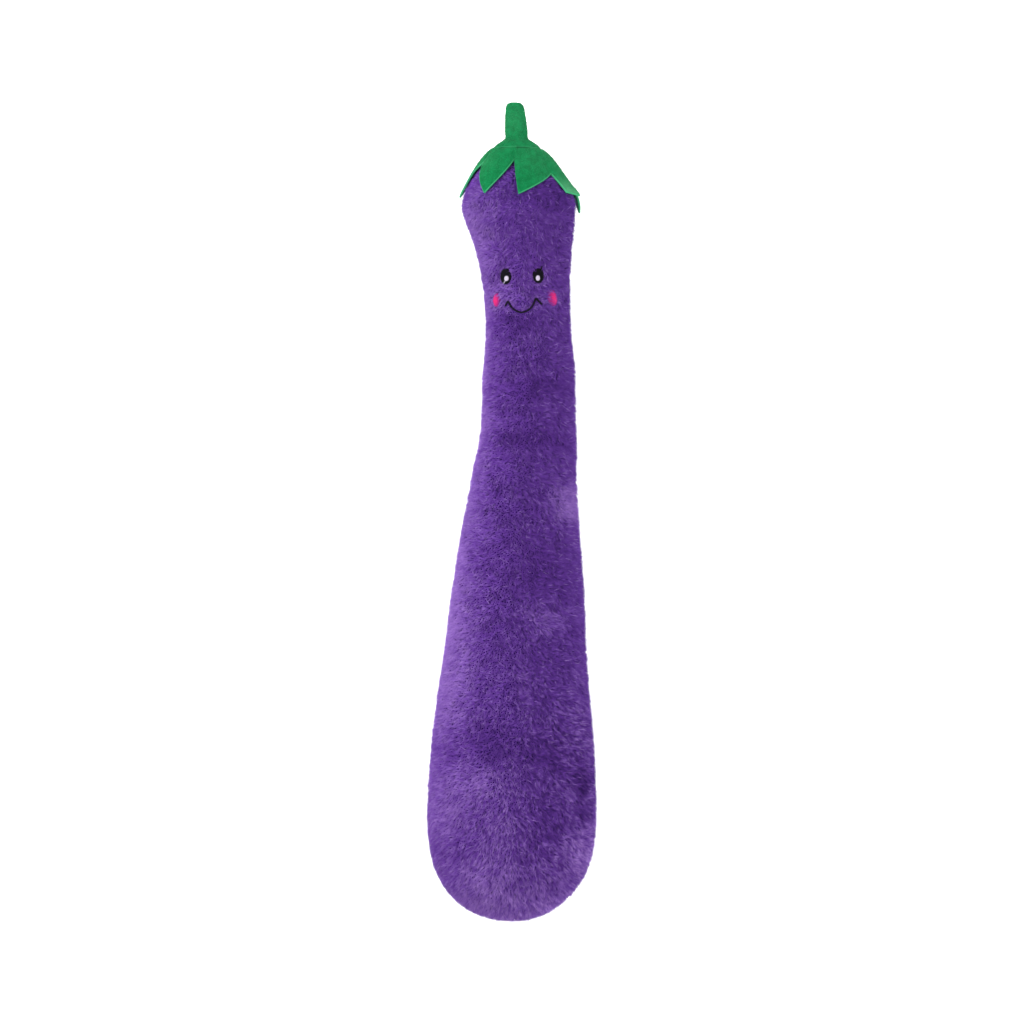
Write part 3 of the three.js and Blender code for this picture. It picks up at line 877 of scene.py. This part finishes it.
def nap_and_shade(cloth, front):
    """Stores the way the pile lies and how light it is at every point of a cloth."""
    points = places_of(cloth.data) / MM
    out = normals_of(cloth.data)
    left, right, depth, lift = np.moveaxis(along_body(points[:, 1]), -1, 0)
    across = (points[:, 0] - (left + right) / 2) / ((right - left) / 2)
    low_end = np.clip((-120 - points[:, 1]) / 80, 0, 1)
    flow = np.stack(
        [
            across * (0.9 + 0.7 * low_end),
            -0.75 - 0.5 * low_end,
            np.full_like(across, -0.25 if front else 0.25),
        ],
        axis=-1,
    )
    flow -= out * (flow * out).sum(-1, keepdims=True)
    flow /= np.maximum(np.linalg.norm(flow, axis=-1, keepdims=True), 1e-6)
    shade = np.full(len(points), 0.485)
    wobble = np.array([noise.noise_vector(Vector(p) / PATCH_WOBBLE_SIZE) for p in points])
    wobbly = points + wobble * PATCH_WOBBLE
    # Brushed patches, painted light and painted shade, with wobbly edges
    for x, y, half_width, half_height, change in BRUSHED_AND_PAINTED_LIGHT:
        away = ((wobbly[:, 0] - x) / half_width) ** 2 + ((wobbly[:, 1] - y) / half_height) ** 2
        shade += change * np.exp(-(away**PATCH_CRISPNESS))
    store(cloth.data, "nap", flow)
    store(cloth.data, "shade", shade)
    head = np.clip((points[:, 1] - 90) / 40, 0, 1)
    store(cloth.data, "lean", 0.36 + 0.03 * low_end + 0.08 * head)
    store(cloth.data, "swirl", 1.2 - 0.6 * low_end + 0.5 * head)
    store(cloth.data, "growth", 1.0 - 0.14 * head)
    belly = np.clip((-60 - points[:, 1]) / 60, 0, 1)
    store(cloth.data, "relief", 0.8 + (0.8 + 0.8 * across) * belly)


def stuffed(piece, sewn, pressure, frames, least, most):
    """Swells a closed cloth over its filling: sewn points hold back, and no point moves further than most."""
    start = places_of(piece.data)
    out = normals_of(piece.data)
    group = piece.vertex_groups.new(name="sewn")
    for index, share in enumerate(sewn):
        group.add([index], float(share), "REPLACE")
    cloth = piece.modifiers.new("Cloth", "CLOTH")
    rules = cloth.settings
    rules.quality = 5
    rules.mass = 0.3
    rules.tension_stiffness = 15
    rules.compression_stiffness = 15
    rules.shear_stiffness = 5
    rules.bending_stiffness = 0.5
    rules.vertex_group_mass = "sewn"
    rules.use_pressure = True
    rules.uniform_pressure_force = pressure
    rules.effector_weights.gravity = 0
    cloth.point_cache.frame_start = 1
    cloth.point_cache.frame_end = frames
    for number in range(1, frames + 1):
        bpy.context.scene.frame_set(number)
    shown = piece.evaluated_get(bpy.context.evaluated_depsgraph_get())
    end = places_of(shown.data)
    piece.modifiers.remove(cloth)
    piece.vertex_groups.clear()
    bpy.context.scene.frame_set(1)
    move = end - start
    far = np.linalg.norm(move, axis=1, keepdims=True)
    move *= np.minimum(1, most / np.maximum(far, 1e-9))
    outwards = (move * out).sum(axis=1)
    move += out * np.maximum(0, least - outwards)[:, None]
    piece.data.vertices.foreach_set("co", (start + move).ravel())
    piece.data.update()
    return far


def body_cloth():
    """The body's backing, swollen by its filling, as a front and a back half."""
    rows = body_rows(SKIN_INSET, SKIN_END_STEPS, SKIN_MIDDLE_STEPS, SKIN_CROWN_STEPS)
    columns = 2 * SKIN_HALF_COLUMNS
    angles = np.arange(columns) * math.pi / SKIN_HALF_COLUMNS
    grid = body_point(rows[:, :1], angles[None, :], rows[:, 1:], SKIN_INSET)
    body = grid[1:-1].reshape(-1, 3)
    points = np.vstack([body, grid[0, :1], grid[-1, :1]])
    count = len(rows) - 2
    faces = grid_faces(count, columns, True)
    tip = len(body)
    top = tip + 1
    last = (count - 1) * columns
    for c in range(columns):
        d = (c + 1) % columns
        faces.append((tip, d, c))
        faces.append((top, last + c, last + d))
    faces = [face[::-1] for face in faces]
    whole = new_piece("body_cloth", points, faces)
    check = bmesh.new()
    check.from_mesh(whole.data)
    if check.calc_volume(signed=True) < 0:
        bmesh.ops.reverse_faces(check, faces=check.faces)
        check.to_mesh(whole.data)
    check.free()
    beside_seam = np.abs(points[:, 2] - seam_height(points[:, 1]))
    sewn = np.exp(-((beside_seam / SEAM_REACH) ** 2))
    sewn[tip] = sewn[top] = 1
    far = stuffed(whole, sewn, SKIN_PRESSURE, SKIN_FRAMES, SKIN_LEAST_SWELL * MM, SKIN_MOST_SWELL * MM)
    print("cloth moved mm", np.percentile(far / MM, (5, 50, 95)).round(2))
    swollen = places_of(whole.data)
    out = normals_of(whole.data)
    lumps = np.array([noise.noise(Vector(p / (LUMP_SIZE * MM))) for p in swollen])
    rise = (lumps + 0.35).clip(0) * LUMP_HEIGHT
    for y, reach, height in PLUMP:
        rise += height * np.exp(-(((points[:, 1] - y) / reach) ** 2))
    swollen += out * (rise * (1 - np.maximum(0, -out[:, 2])))[:, None] * MM
    at_tip = np.exp(-(((points[:, 1] - BELLY_Y + ROUND_END_LENGTH) / TIP_REACH) ** 2))
    swollen[:, 0] += (SKIN_SHIFT - TIP_SHIFT * at_tip) * MM
    halves = []
    for side, name in ((0, "front_plush"), (1, "back_plush")):
        picked = (np.arange(SKIN_HALF_COLUMNS + 1) + side * SKIN_HALF_COLUMNS) % columns
        index = (np.arange(count)[:, None] * columns + picked[None, :]).ravel()
        part = np.vstack([swollen[index], swollen[tip], swollen[top]]) / MM
        wide = SKIN_HALF_COLUMNS + 1
        faces = grid_faces(count, wide, False)
        end = count * wide
        for c in range(wide - 1):
            faces.append((end, c + 1, c))
            faces.append((end + 1, end - wide + c, end - wide + c + 1))
        halves.append(new_piece(name, part, [face[::-1] for face in faces], backing))
    bpy.data.objects.remove(whole)
    return halves


def finished_cloth(half):
    """One subdivision."""
    smooth = half.modifiers.new("Subdivision", "SUBSURF")
    smooth.levels = smooth.render_levels = 1
    applied(half)
    return half


def out_facing(half):
    """Turns the cloth's faces outwards, away from the middle of the toy."""
    points = places_of(half.data) / MM
    left, right, _, _ = np.moveaxis(along_body(points[:, 1]), -1, 0)
    away = points - np.stack([(left + right) / 2, points[:, 1], seam_height(points[:, 1])], axis=-1)
    if (away * normals_of(half.data)).sum() < 0:
        half.data.flip_normals()


front_plush, back_plush = body_cloth()
for half in (front_plush, back_plush):
    out_facing(half)
    finished_cloth(half)
    nap_and_shade(half, half is front_plush)


# Places where the felt is paler and greyer: place, half width, half height and share
PALER_FELT = (
    (2, 216, 9, 11, 0.1),
    (29, 176, 9, 6, 0.6),
    (36, 167, 6, 9, 0.8),
    (14, 192, 12, 7, 0.06),
    (-14, 192, 7, 6, 0.06),
)


def paler_felt_share(points):
    share = np.zeros(len(points))
    for x, y, half_width, half_height, most in PALER_FELT:
        share += most * np.exp(-(((points[:, 0] - x) / half_width) ** 2) - ((points[:, 1] - y) / half_height) ** 2)
    return np.minimum(share, 1)


def calyx_felt():
    """The felt cap: strips round the head, each from the hole over the outside, round the cut edge and back."""
    hole_share = rounded_end(CALYX_HOLE_HALF_WIDTH / ((STATIONS[-1, 2] - STATIONS[-1, 1]) / 2), CROWN_POWER)
    hole_y = HEAD_Y + CROWN_LENGTH * hole_share
    columns = []
    for i, start in enumerate(CALYX_EDGE):
        after = CALYX_EDGE[(i + 1) % len(CALYX_EDGE)]
        end_angle = after[0] + (360 if i + 1 == len(CALYX_EDGE) else 0)
        steps = max(math.ceil((end_angle - start[0]) / 2.5), math.ceil(abs(after[1] - start[1]) / 1.2))
        for k in range(steps):
            share = k / steps
            columns.append(
                (
                    start[0] + (end_angle - start[0]) * share,
                    start[1] + (after[1] - start[1]) * share,
                    start[2] + (after[2] - start[2]) * share,
                )
            )
    columns = np.array(columns)
    angle = np.radians(columns[:, 0])
    down = np.linspace(0, 1, 19) ** 1.15
    strips = []
    cuts = []

    def row(share, height, cut, past=0.0):
        y = hole_y + (columns[:, 1] - hole_y) * share - past
        dome = CALYX_DOME * (1 - share) ** 2 * share**CALYX_DOME_POWER
        lifted = FELT_GAP + columns[:, 2] * share**3 + height + dome
        strips.append(off_head(y, angle, lifted))
        cuts.append(np.full(len(columns), cut))

    thick = FELT_THICKNESS
    row(0.0, thick, 1.0)
    row(0.0, thick, 0.0, 0.35)
    for share in down[1:-1]:
        row(share, thick, 0.0)
    row(1.0, thick, 0.0, -0.4)
    row(1.0, thick * 0.96, 1.0)
    row(1.0, thick * 0.7, 1.0, 0.2)
    row(1.0, thick * 0.3, 1.0, 0.2)
    row(1.0, thick * 0.04, 1.0)
    row(1.0, 0.0, 0.0, -0.4)
    for share in down[-2:0:-1]:
        row(share, 0.0, 0.0)
    row(0.0, 0.0, 0.0, 0.35)
    row(0.0, 0.0, 1.0)
    row(0.0, thick * 0.3, 1.0, -0.2)
    row(0.0, thick * 0.7, 1.0, -0.2)
    points = np.stack(strips, axis=0)
    points[:, :, 0] += CAP_SHIFT
    rows, wide = points.shape[:2]
    faces = grid_faces(rows, wide, True)
    for c in range(wide):
        d = (c + 1) % wide
        faces.append(((rows - 1) * wide + c, (rows - 1) * wide + d, d, c))
    points = points.reshape(-1, 3)
    piece = new_piece("calyx_felt", points, faces, felt)
    store(piece.data, "cut", np.concatenate(cuts))
    store(piece.data, "rubbed", paler_felt_share(points))
    return piece


def turned_outwards(piece):
    """Turns a closed piece's faces outwards."""
    work = bmesh.new()
    work.from_mesh(piece.data)
    if work.calc_volume(signed=True) < 0:
        bmesh.ops.reverse_faces(work, faces=work.faces)
        work.to_mesh(piece.data)
    work.free()
    return piece


calyx = turned_outwards(calyx_felt())


def stem_felt():
    """The stuffed stem with its flared foot, closed below along the crown of the head."""
    profile = np.array(STEM_PROFILE)
    head_half_width = (STATIONS[-1, 2] - STATIONS[-1, 1]) / 2
    head_centre = (STATIONS[-1, 2] + STATIONS[-1, 1]) / 2 + CAP_SHIFT
    flatness = STATIONS[-1, 3] / 2 / head_half_width
    foot = []
    for radius in (11.0, 8.6, 6.0, 3.0, 0.0):
        crown = HEAD_Y + CROWN_LENGTH * rounded_end(radius / head_half_width, CROWN_POWER)
        foot.append((radius, crown + 0.25))
    profile = np.vstack([profile, foot])
    sides = 44
    points = []
    for radius, y in profile[1:-1]:
        angle = np.arange(sides) * 2 * math.pi / sides
        lean = STEM_LEAN * max(0, y - HEAD_Y - CROWN_LENGTH)
        x = head_centre + lean + radius * np.cos(angle)
        z = seam_height(HEAD_Y) + radius * flatness * np.sin(angle)
        points.append(np.stack([x, np.full(sides, y), z], axis=-1))
    count = len(points)
    ends = []
    for _, y in (profile[0], profile[-1]):
        lean = STEM_LEAN * max(0, y - HEAD_Y - CROWN_LENGTH)
        ends.append((head_centre + lean, y, float(seam_height(HEAD_Y))))
    points = np.vstack([np.concatenate(points), ends])
    faces = grid_faces(count, sides, True)
    tip = count * sides
    last = (count - 1) * sides
    for c in range(sides):
        d = (c + 1) % sides
        faces.append((tip, d, c))
        faces.append((tip + 1, last + c, last + d))
    piece = turned_outwards(new_piece("stem_felt", points, faces, felt))
    smooth = piece.modifiers.new("Subdivision", "SUBSURF")
    smooth.levels = smooth.render_levels = 1
    applied(piece)
    made = places_of(piece.data) / MM
    from_middle = np.linalg.norm((made[:, 0] - head_centre, (made[:, 2] - seam_height(HEAD_Y)) / flatness), axis=0)
    rim = (from_middle > 12.7) & (np.abs(made[:, 1] - 200.4) < 0.5)
    store(piece.data, "cut", 0.35 * rim)
    store(piece.data, "rubbed", paler_felt_share(made))
    return piece


stem = stem_felt()


def pad(name, x, y, half_width, half_height, low, edge, top, finish, leaning=0.0):
    """A low mound in the plush for a satin-stitched spot."""
    sides = 28
    rings = ((low, 1.0), (edge, 1.0), (edge + (top - edge) * 0.7, 0.9), (top, 0.62), (top + 0.05, 0.3))
    angle = np.arange(sides) * 2 * math.pi / sides
    across = half_width * np.cos(angle) - leaning * half_height * np.sin(angle)
    points = [
        on_front(x + across * size, y + half_height * size * np.sin(angle), height)
        for height, size in rings
    ]
    count = len(points)
    points.append(on_front(x, y, low)[None, :])
    points.append(on_front(x, y, top + 0.07)[None, :])
    faces = grid_faces(count, sides, True)
    bottom = count * sides
    last = (count - 1) * sides
    for c in range(sides):
        d = (c + 1) % sides
        faces.append((bottom, d, c))
        faces.append((bottom + 1, last + c, last + d))
    return turned_outwards(new_piece(name, np.concatenate(points), faces, finish))


satin = satin_tree()


def satin_spot(node, spot, depths, pitch, thread, turn, finish, seed):
    """A satin-stitched spot, and the smaller mound that holds the pile off it."""
    side, x, y, half_width, half_height = spot
    name = f"{node}_{side}_stitches"
    leaning = SPOT_LEAN.get(f"{node}_{side}", 0.0)
    piece = pad(name, x, y, half_width, half_height, *depths, finish, leaning)
    clear = STITCH_CLEARANCE[node]
    cleared.append(pad("clearing", x, y, half_width * clear, half_height * clear, *depths, None, leaning))
    high = float(on_front(x, y, 6.0)[2])
    values = {
        "Centre": (x * MM, y * MM, high * MM),
        "Span": 2.4 * max(half_width, half_height) * MM,
        "Pitch": pitch * MM,
        "Thread": thread * MM,
        "Turn": math.radians(turn),
        "Raggedness": 0.25 * MM,
        "Seed": seed,
        "Finish": finish,
    }
    grown(piece, satin, values)
    made = places_of(piece.data) / MM
    # How far out from the spot's middle, reckoned from a point right of it, so that the left side reaches the
    # painted shade of the rim sooner
    away_y = (made[:, 1] - y) / half_height
    away_x = (made[:, 0] - x - 0.25 * half_width) / half_width + leaning * away_y * half_height / half_width
    store(piece.data, "outwards", np.minimum(1, np.hypot(away_x, away_y)))
    return piece


cleared = []
stitched = []
for spot in EYES:
    piece = satin_spot("eye", spot, (-2.5, -1.6, -1.0), 0.42, 0.24, 0, black_thread, 3)
    stitched.append((piece, "eye_" + spot[0], "black_thread"))
for spot in CHEEKS:
    piece = satin_spot("cheek", spot, (-2.7, -2.0, -1.3), 0.45, 0.26, 90, pink_thread, 5)
    stitched.append((piece, "cheek_" + spot[0], "pink_thread"))
for spot in HIGHLIGHTS:
    piece = satin_spot("eye_highlight", spot, (-1.05, -0.7, -0.45), 0.36, 0.21, 0, white_thread, 7)
    stitched.append((piece, "eye_highlight_" + spot[0], "white_thread"))


def tube(points, radius, sides=8):
    """Points and faces of a closed tube along a line of points."""
    points = np.asarray(points, float)
    ways = np.gradient(points, axis=0)
    ways /= np.linalg.norm(ways, axis=1, keepdims=True)
    up = np.array([0.0, 0.0, 1.0])
    side = np.cross(ways, up)
    side /= np.linalg.norm(side, axis=1, keepdims=True)
    over = np.cross(side, ways)
    angle = np.arange(sides) * 2 * math.pi / sides
    radius = np.broadcast_to(radius, len(points))
    rings = points[:, None, :] + radius[:, None, None] * (
        np.cos(angle)[None, :, None] * side[:, None, :] + np.sin(angle)[None, :, None] * over[:, None, :]
    )
    faces = grid_faces(len(points), sides, True)
    faces.append(tuple(range(sides))[::-1])
    faces.append(tuple((len(points) - 1) * sides + k for k in range(sides)))
    return rings.reshape(-1, 3), faces


def smooth_line(points, count):
    """A smooth curve through points on the plush's front."""
    points = np.array(points, float)
    if len(points) == 2:
        share = np.linspace(0, 1, count)[:, None]
        return points[0] * (1 - share) + points[1] * share
    along = np.concatenate([[0], np.cumsum(np.linalg.norm(np.diff(points, axis=0), axis=1))])
    wanted = np.linspace(0, along[-1], count)
    slopes = np.gradient(points, along, axis=0)
    i = np.clip(np.searchsorted(along, wanted, side="right") - 1, 0, len(points) - 2)
    h = (along[i + 1] - along[i])[:, None]
    t = ((wanted - along[i])[:, None]) / h
    return (
        (2 * t**3 - 3 * t**2 + 1) * points[i]
        + (t**3 - 2 * t**2 + t) * h * slopes[i]
        + (-2 * t**3 + 3 * t**2) * points[i + 1]
        + (t**3 - t**2) * h * slopes[i + 1]
    )


def mouth_stitches():
    """The smile and its ticks as runs of short stitches."""
    points = []
    faces = []
    for line in (SMILE, *SMILE_TICKS):
        count = 61 if len(line) > 2 else 12
        flat = smooth_line(line, count)
        stitch = np.arange(count) % 6 / 6
        depth = -0.8 + 0.18 * np.sin(math.pi * stitch)
        path = np.array([on_front(x, y, d) for (x, y), d in zip(flat, depth)])
        radius = 0.48 + 0.1 * np.sin(math.pi * stitch)
        radius[0] = radius[-1] = 0.3
        rings, quads = tube(path, radius)
        base = sum(len(p) for p in points)
        points.append(rings)
        faces += [tuple(i + base for i in face) for face in quads]
    return new_piece("mouth_stitches", np.concatenate(points), faces, mouth_thread)


def with_stitch(piece, line, depth, radius):
    """Adds one straight stitch to a stitched piece."""
    flat = smooth_line(line, 7)
    share = np.linspace(0, 1, 7)
    path = on_front(flat[:, 0], flat[:, 1], depth + 0.15 * np.sin(math.pi * share))
    rings, quads = tube(path, radius * (0.55 + 0.45 * np.sin(math.pi * share)))
    work = bmesh.new()
    work.from_mesh(piece.data)
    work.faces.ensure_lookup_table()
    slot = work.faces[0].material_index
    points = [work.verts.new(point * MM) for point in rings]
    added = [work.faces.new([points[i] for i in quad]) for quad in quads]
    for face in added:
        face.material_index = slot
    bmesh.ops.recalc_face_normals(work, faces=added)
    work.to_mesh(piece.data)
    work.free()
    piece.data.shade_smooth()


made = {node: piece for piece, node, _ in stitched}
with_stitch(made["eye_right"], LASH, -0.9, 0.42)
with_stitch(made["eye_highlight_left"], GLINT_TAIL, -0.75, 0.2)
mouth = mouth_stitches()
stitched.append((mouth, "mouth", "black_thread"))


def joined_copy(name, pieces):
    """One plain mesh of several pieces, to measure distances from."""
    work = bmesh.new()
    for piece in pieces:
        work.from_mesh(piece.data)
    mesh = bpy.data.meshes.new(name)
    work.to_mesh(mesh)
    work.free()
    made = bpy.data.objects.new(name, mesh)
    bpy.context.scene.collection.objects.link(made)
    return made


stitch_guide = joined_copy("stitch_guide", [*cleared, mouth])
for piece in cleared:
    bpy.data.objects.remove(piece)
pile = pile_tree()
PILE_KEPT = "OFBake"


def grow_pile(name, cloth, low, high, seed, **changes):
    """Pile on the part of a cloth between two heights, as a piece of its own."""
    piece = bpy.data.objects.new(name, cloth.data.copy())
    bpy.context.scene.collection.objects.link(piece)
    values = {
        "Lower edge": low * MM,
        "Upper edge": high * MM,
        "Long blades": LONG_BLADES_A_MM2 / MM**2,
        "Short blades": SHORT_BLADES_A_MM2 / MM**2,
        "Stray blades": STRAY_BLADES_A_MM2 / MM**2,
        "Long length": 4.2 * MM,
        "Short length": 3.1 * MM,
        "Long half width": 0.18 * MM,
        "Short half width": 0.33 * MM,
        "Lean": 1.0,
        "Turn": 1.1,
        "Tuft size": 1.2 * MM,
        "Tuft pull": 0.28,
        "Tuft contrast": 0.26,
        "Curl": 0.12,
        "Depth": 1.6 * MM,
        "Seed": seed,
        "Cover": calyx,
        "Stitches": stitch_guide,
        "Finish": plush_pile,
    }
    values.update(changes)
    grown(piece, pile, values)
    mesh = piece.data
    for layer in [a.name for a in mesh.attributes if not a.is_required and not a.is_internal]:
        if layer not in (PILE_KEPT, "sharp_face", "material_index"):
            mesh.attributes.remove(mesh.attributes[layer])
    print(name, len(mesh.vertices), "points", sum(len(p.vertices) - 2 for p in mesh.polygons), "triangles")
    return piece


pile_pieces = []
fuzz_pieces = []
for number, (side, cloth, node) in enumerate(
    (("front", front_plush, "body_front_panel"), ("back", back_plush, "body_back_panel"))
):
    for k, (low, high) in enumerate(zip(PILE_ZONE_EDGES, PILE_ZONE_EDGES[1:]), 1):
        pile_pieces.append((grow_pile(f"{side}_pile_{k}", cloth, low, high, 10 * number + k), node))


def felt_nap(piece):
    """Stores the way the felt's fibres lie and how light they are."""
    count = len(piece.data.vertices)
    out = normals_of(piece.data)
    away = np.array([noise.noise_vector(Vector(p) / 0.003) for p in places_of(piece.data)])
    away -= out * (away * out).sum(-1, keepdims=True)
    store(piece.data, "nap", away / np.maximum(np.linalg.norm(away, axis=1, keepdims=True), 1e-6))
    store(piece.data, "shade", 0.34 + 0.4 * paler_felt_share(places_of(piece.data) / MM))
    store(piece.data, "lean", np.full(count, 0.62))
    store(piece.data, "swirl", np.full(count, 2.0))
    store(piece.data, "growth", np.ones(count))
    store(piece.data, "relief", np.ones(count))


for felt_piece, node in ((calyx, "calyx"), (stem, "stem_cover")):
    felt_nap(felt_piece)
    changes = {
        "Long blades": 0.0,
        "Short blades": 2.6 / MM**2,
        "Stray blades": 0.0,
        "Short length": 1.1 * MM,
        "Short half width": 0.045 * MM,
        "Tuft pull": 0.1,
        "Tuft contrast": 0.5,
        "Curl": 0.3,
        "Finish": felt_fuzz,
        "Cover": None,
    }
    fuzz_pieces.append((grow_pile(node + "_fuzz", felt_piece, -230, 230, 40, **changes), node))
    for layer in NAP_LAYERS:
        felt_piece.data.attributes.remove(felt_piece.data.attributes[layer])
bpy.data.objects.remove(stitch_guide)

for half in (front_plush, back_plush):
    for layer in NAP_LAYERS:
        half.data.attributes.remove(half.data.attributes[layer])
    thick = half.modifiers.new("Thickness", "SOLIDIFY")
    thick.thickness = BACKING_THICKNESS * MM
    thick.offset = -1
    applied(half)

# The filling inside, never seen, keeps its solids
for node in ("body_stuffing", "stem_stuffing"):
    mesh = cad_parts[node].data
    mesh.materials.clear()
    mesh.materials.append(fill)

# What each piece is, stands for and rides on
dressed = [
    (front_plush, "body_front_panel", "purple_plush"),
    (back_plush, "body_back_panel", "purple_plush"),
    (calyx, "calyx", "green_felt"),
    (stem, "stem_cover", "green_felt"),
    *((piece, node, "purple_plush") for piece, node in pile_pieces),
    *((piece, node, "green_felt") for piece, node in fuzz_pieces),
    *stitched,
]
for piece, node, slot in dressed:
    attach(piece, "root")
    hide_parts(node)


# Floor, light and camera
def stage_and_light():
    floor_points = [(-3000, -3000, 0), (3000, -3000, 0), (3000, 3000, 0), (-3000, 3000, 0)]
    floor_finish, steps, shader = finish_of("Pale floor", 0.9, specular=0.1)
    shader.inputs["Base Color"].default_value = (0.92, 0.92, 0.92, 1.0)
    shader.inputs["Emission Color"].default_value = (1.0, 1.0, 1.0, 1.0)
    shader.inputs["Emission Strength"].default_value = 0.5
    floor = new_piece("floor", floor_points, [(0, 1, 2, 3)], floor_finish)
    world = bpy.data.worlds.new("Soft studio")
    world.use_nodes = True
    sky = next(n for n in world.node_tree.nodes if n.type == "BACKGROUND")
    sky.inputs["Color"].default_value = (1.0, 1.0, 1.0, 1.0)
    sky.inputs["Strength"].default_value = 1.0
    bpy.context.scene.world = world
    for name, place, size, power in (
        ("key", (-0.75, 0.3, 1.1), 1.3, 24.0),
        ("fill", (0.9, -0.3, 1.0), 1.2, 10.0),
    ):
        light = bpy.data.lights.new(name, "AREA")
        light.size = size
        light.energy = power
        lamp = bpy.data.objects.new(name, light)
        lamp.location = place
        aim = Vector((0, 0, 0.03)) - Vector(place)
        lamp.rotation_euler = aim.to_track_quat("-Z", "Y").to_euler()
        bpy.context.scene.collection.objects.link(lamp)


def photo_camera():
    wide = MM_A_PIXEL * PICTURE_PIXELS
    data = bpy.data.cameras.new("camera")
    data.lens = LENS
    data.sensor_width = SENSOR
    data.sensor_fit = "AUTO"
    data.clip_start = 0.05
    data.clip_end = 20.0
    camera = bpy.data.objects.new("camera", data)
    height = OUTLINE_HEIGHT + wide * LENS / SENSOR
    camera.location = (PICTURE_CENTRE[0] * MM, PICTURE_CENTRE[1] * MM, height * MM)
    bpy.context.scene.collection.objects.link(camera)
    bpy.context.scene.camera = camera


stage_and_light()
photo_camera()
bpy.context.scene.view_settings.view_transform = "Standard"
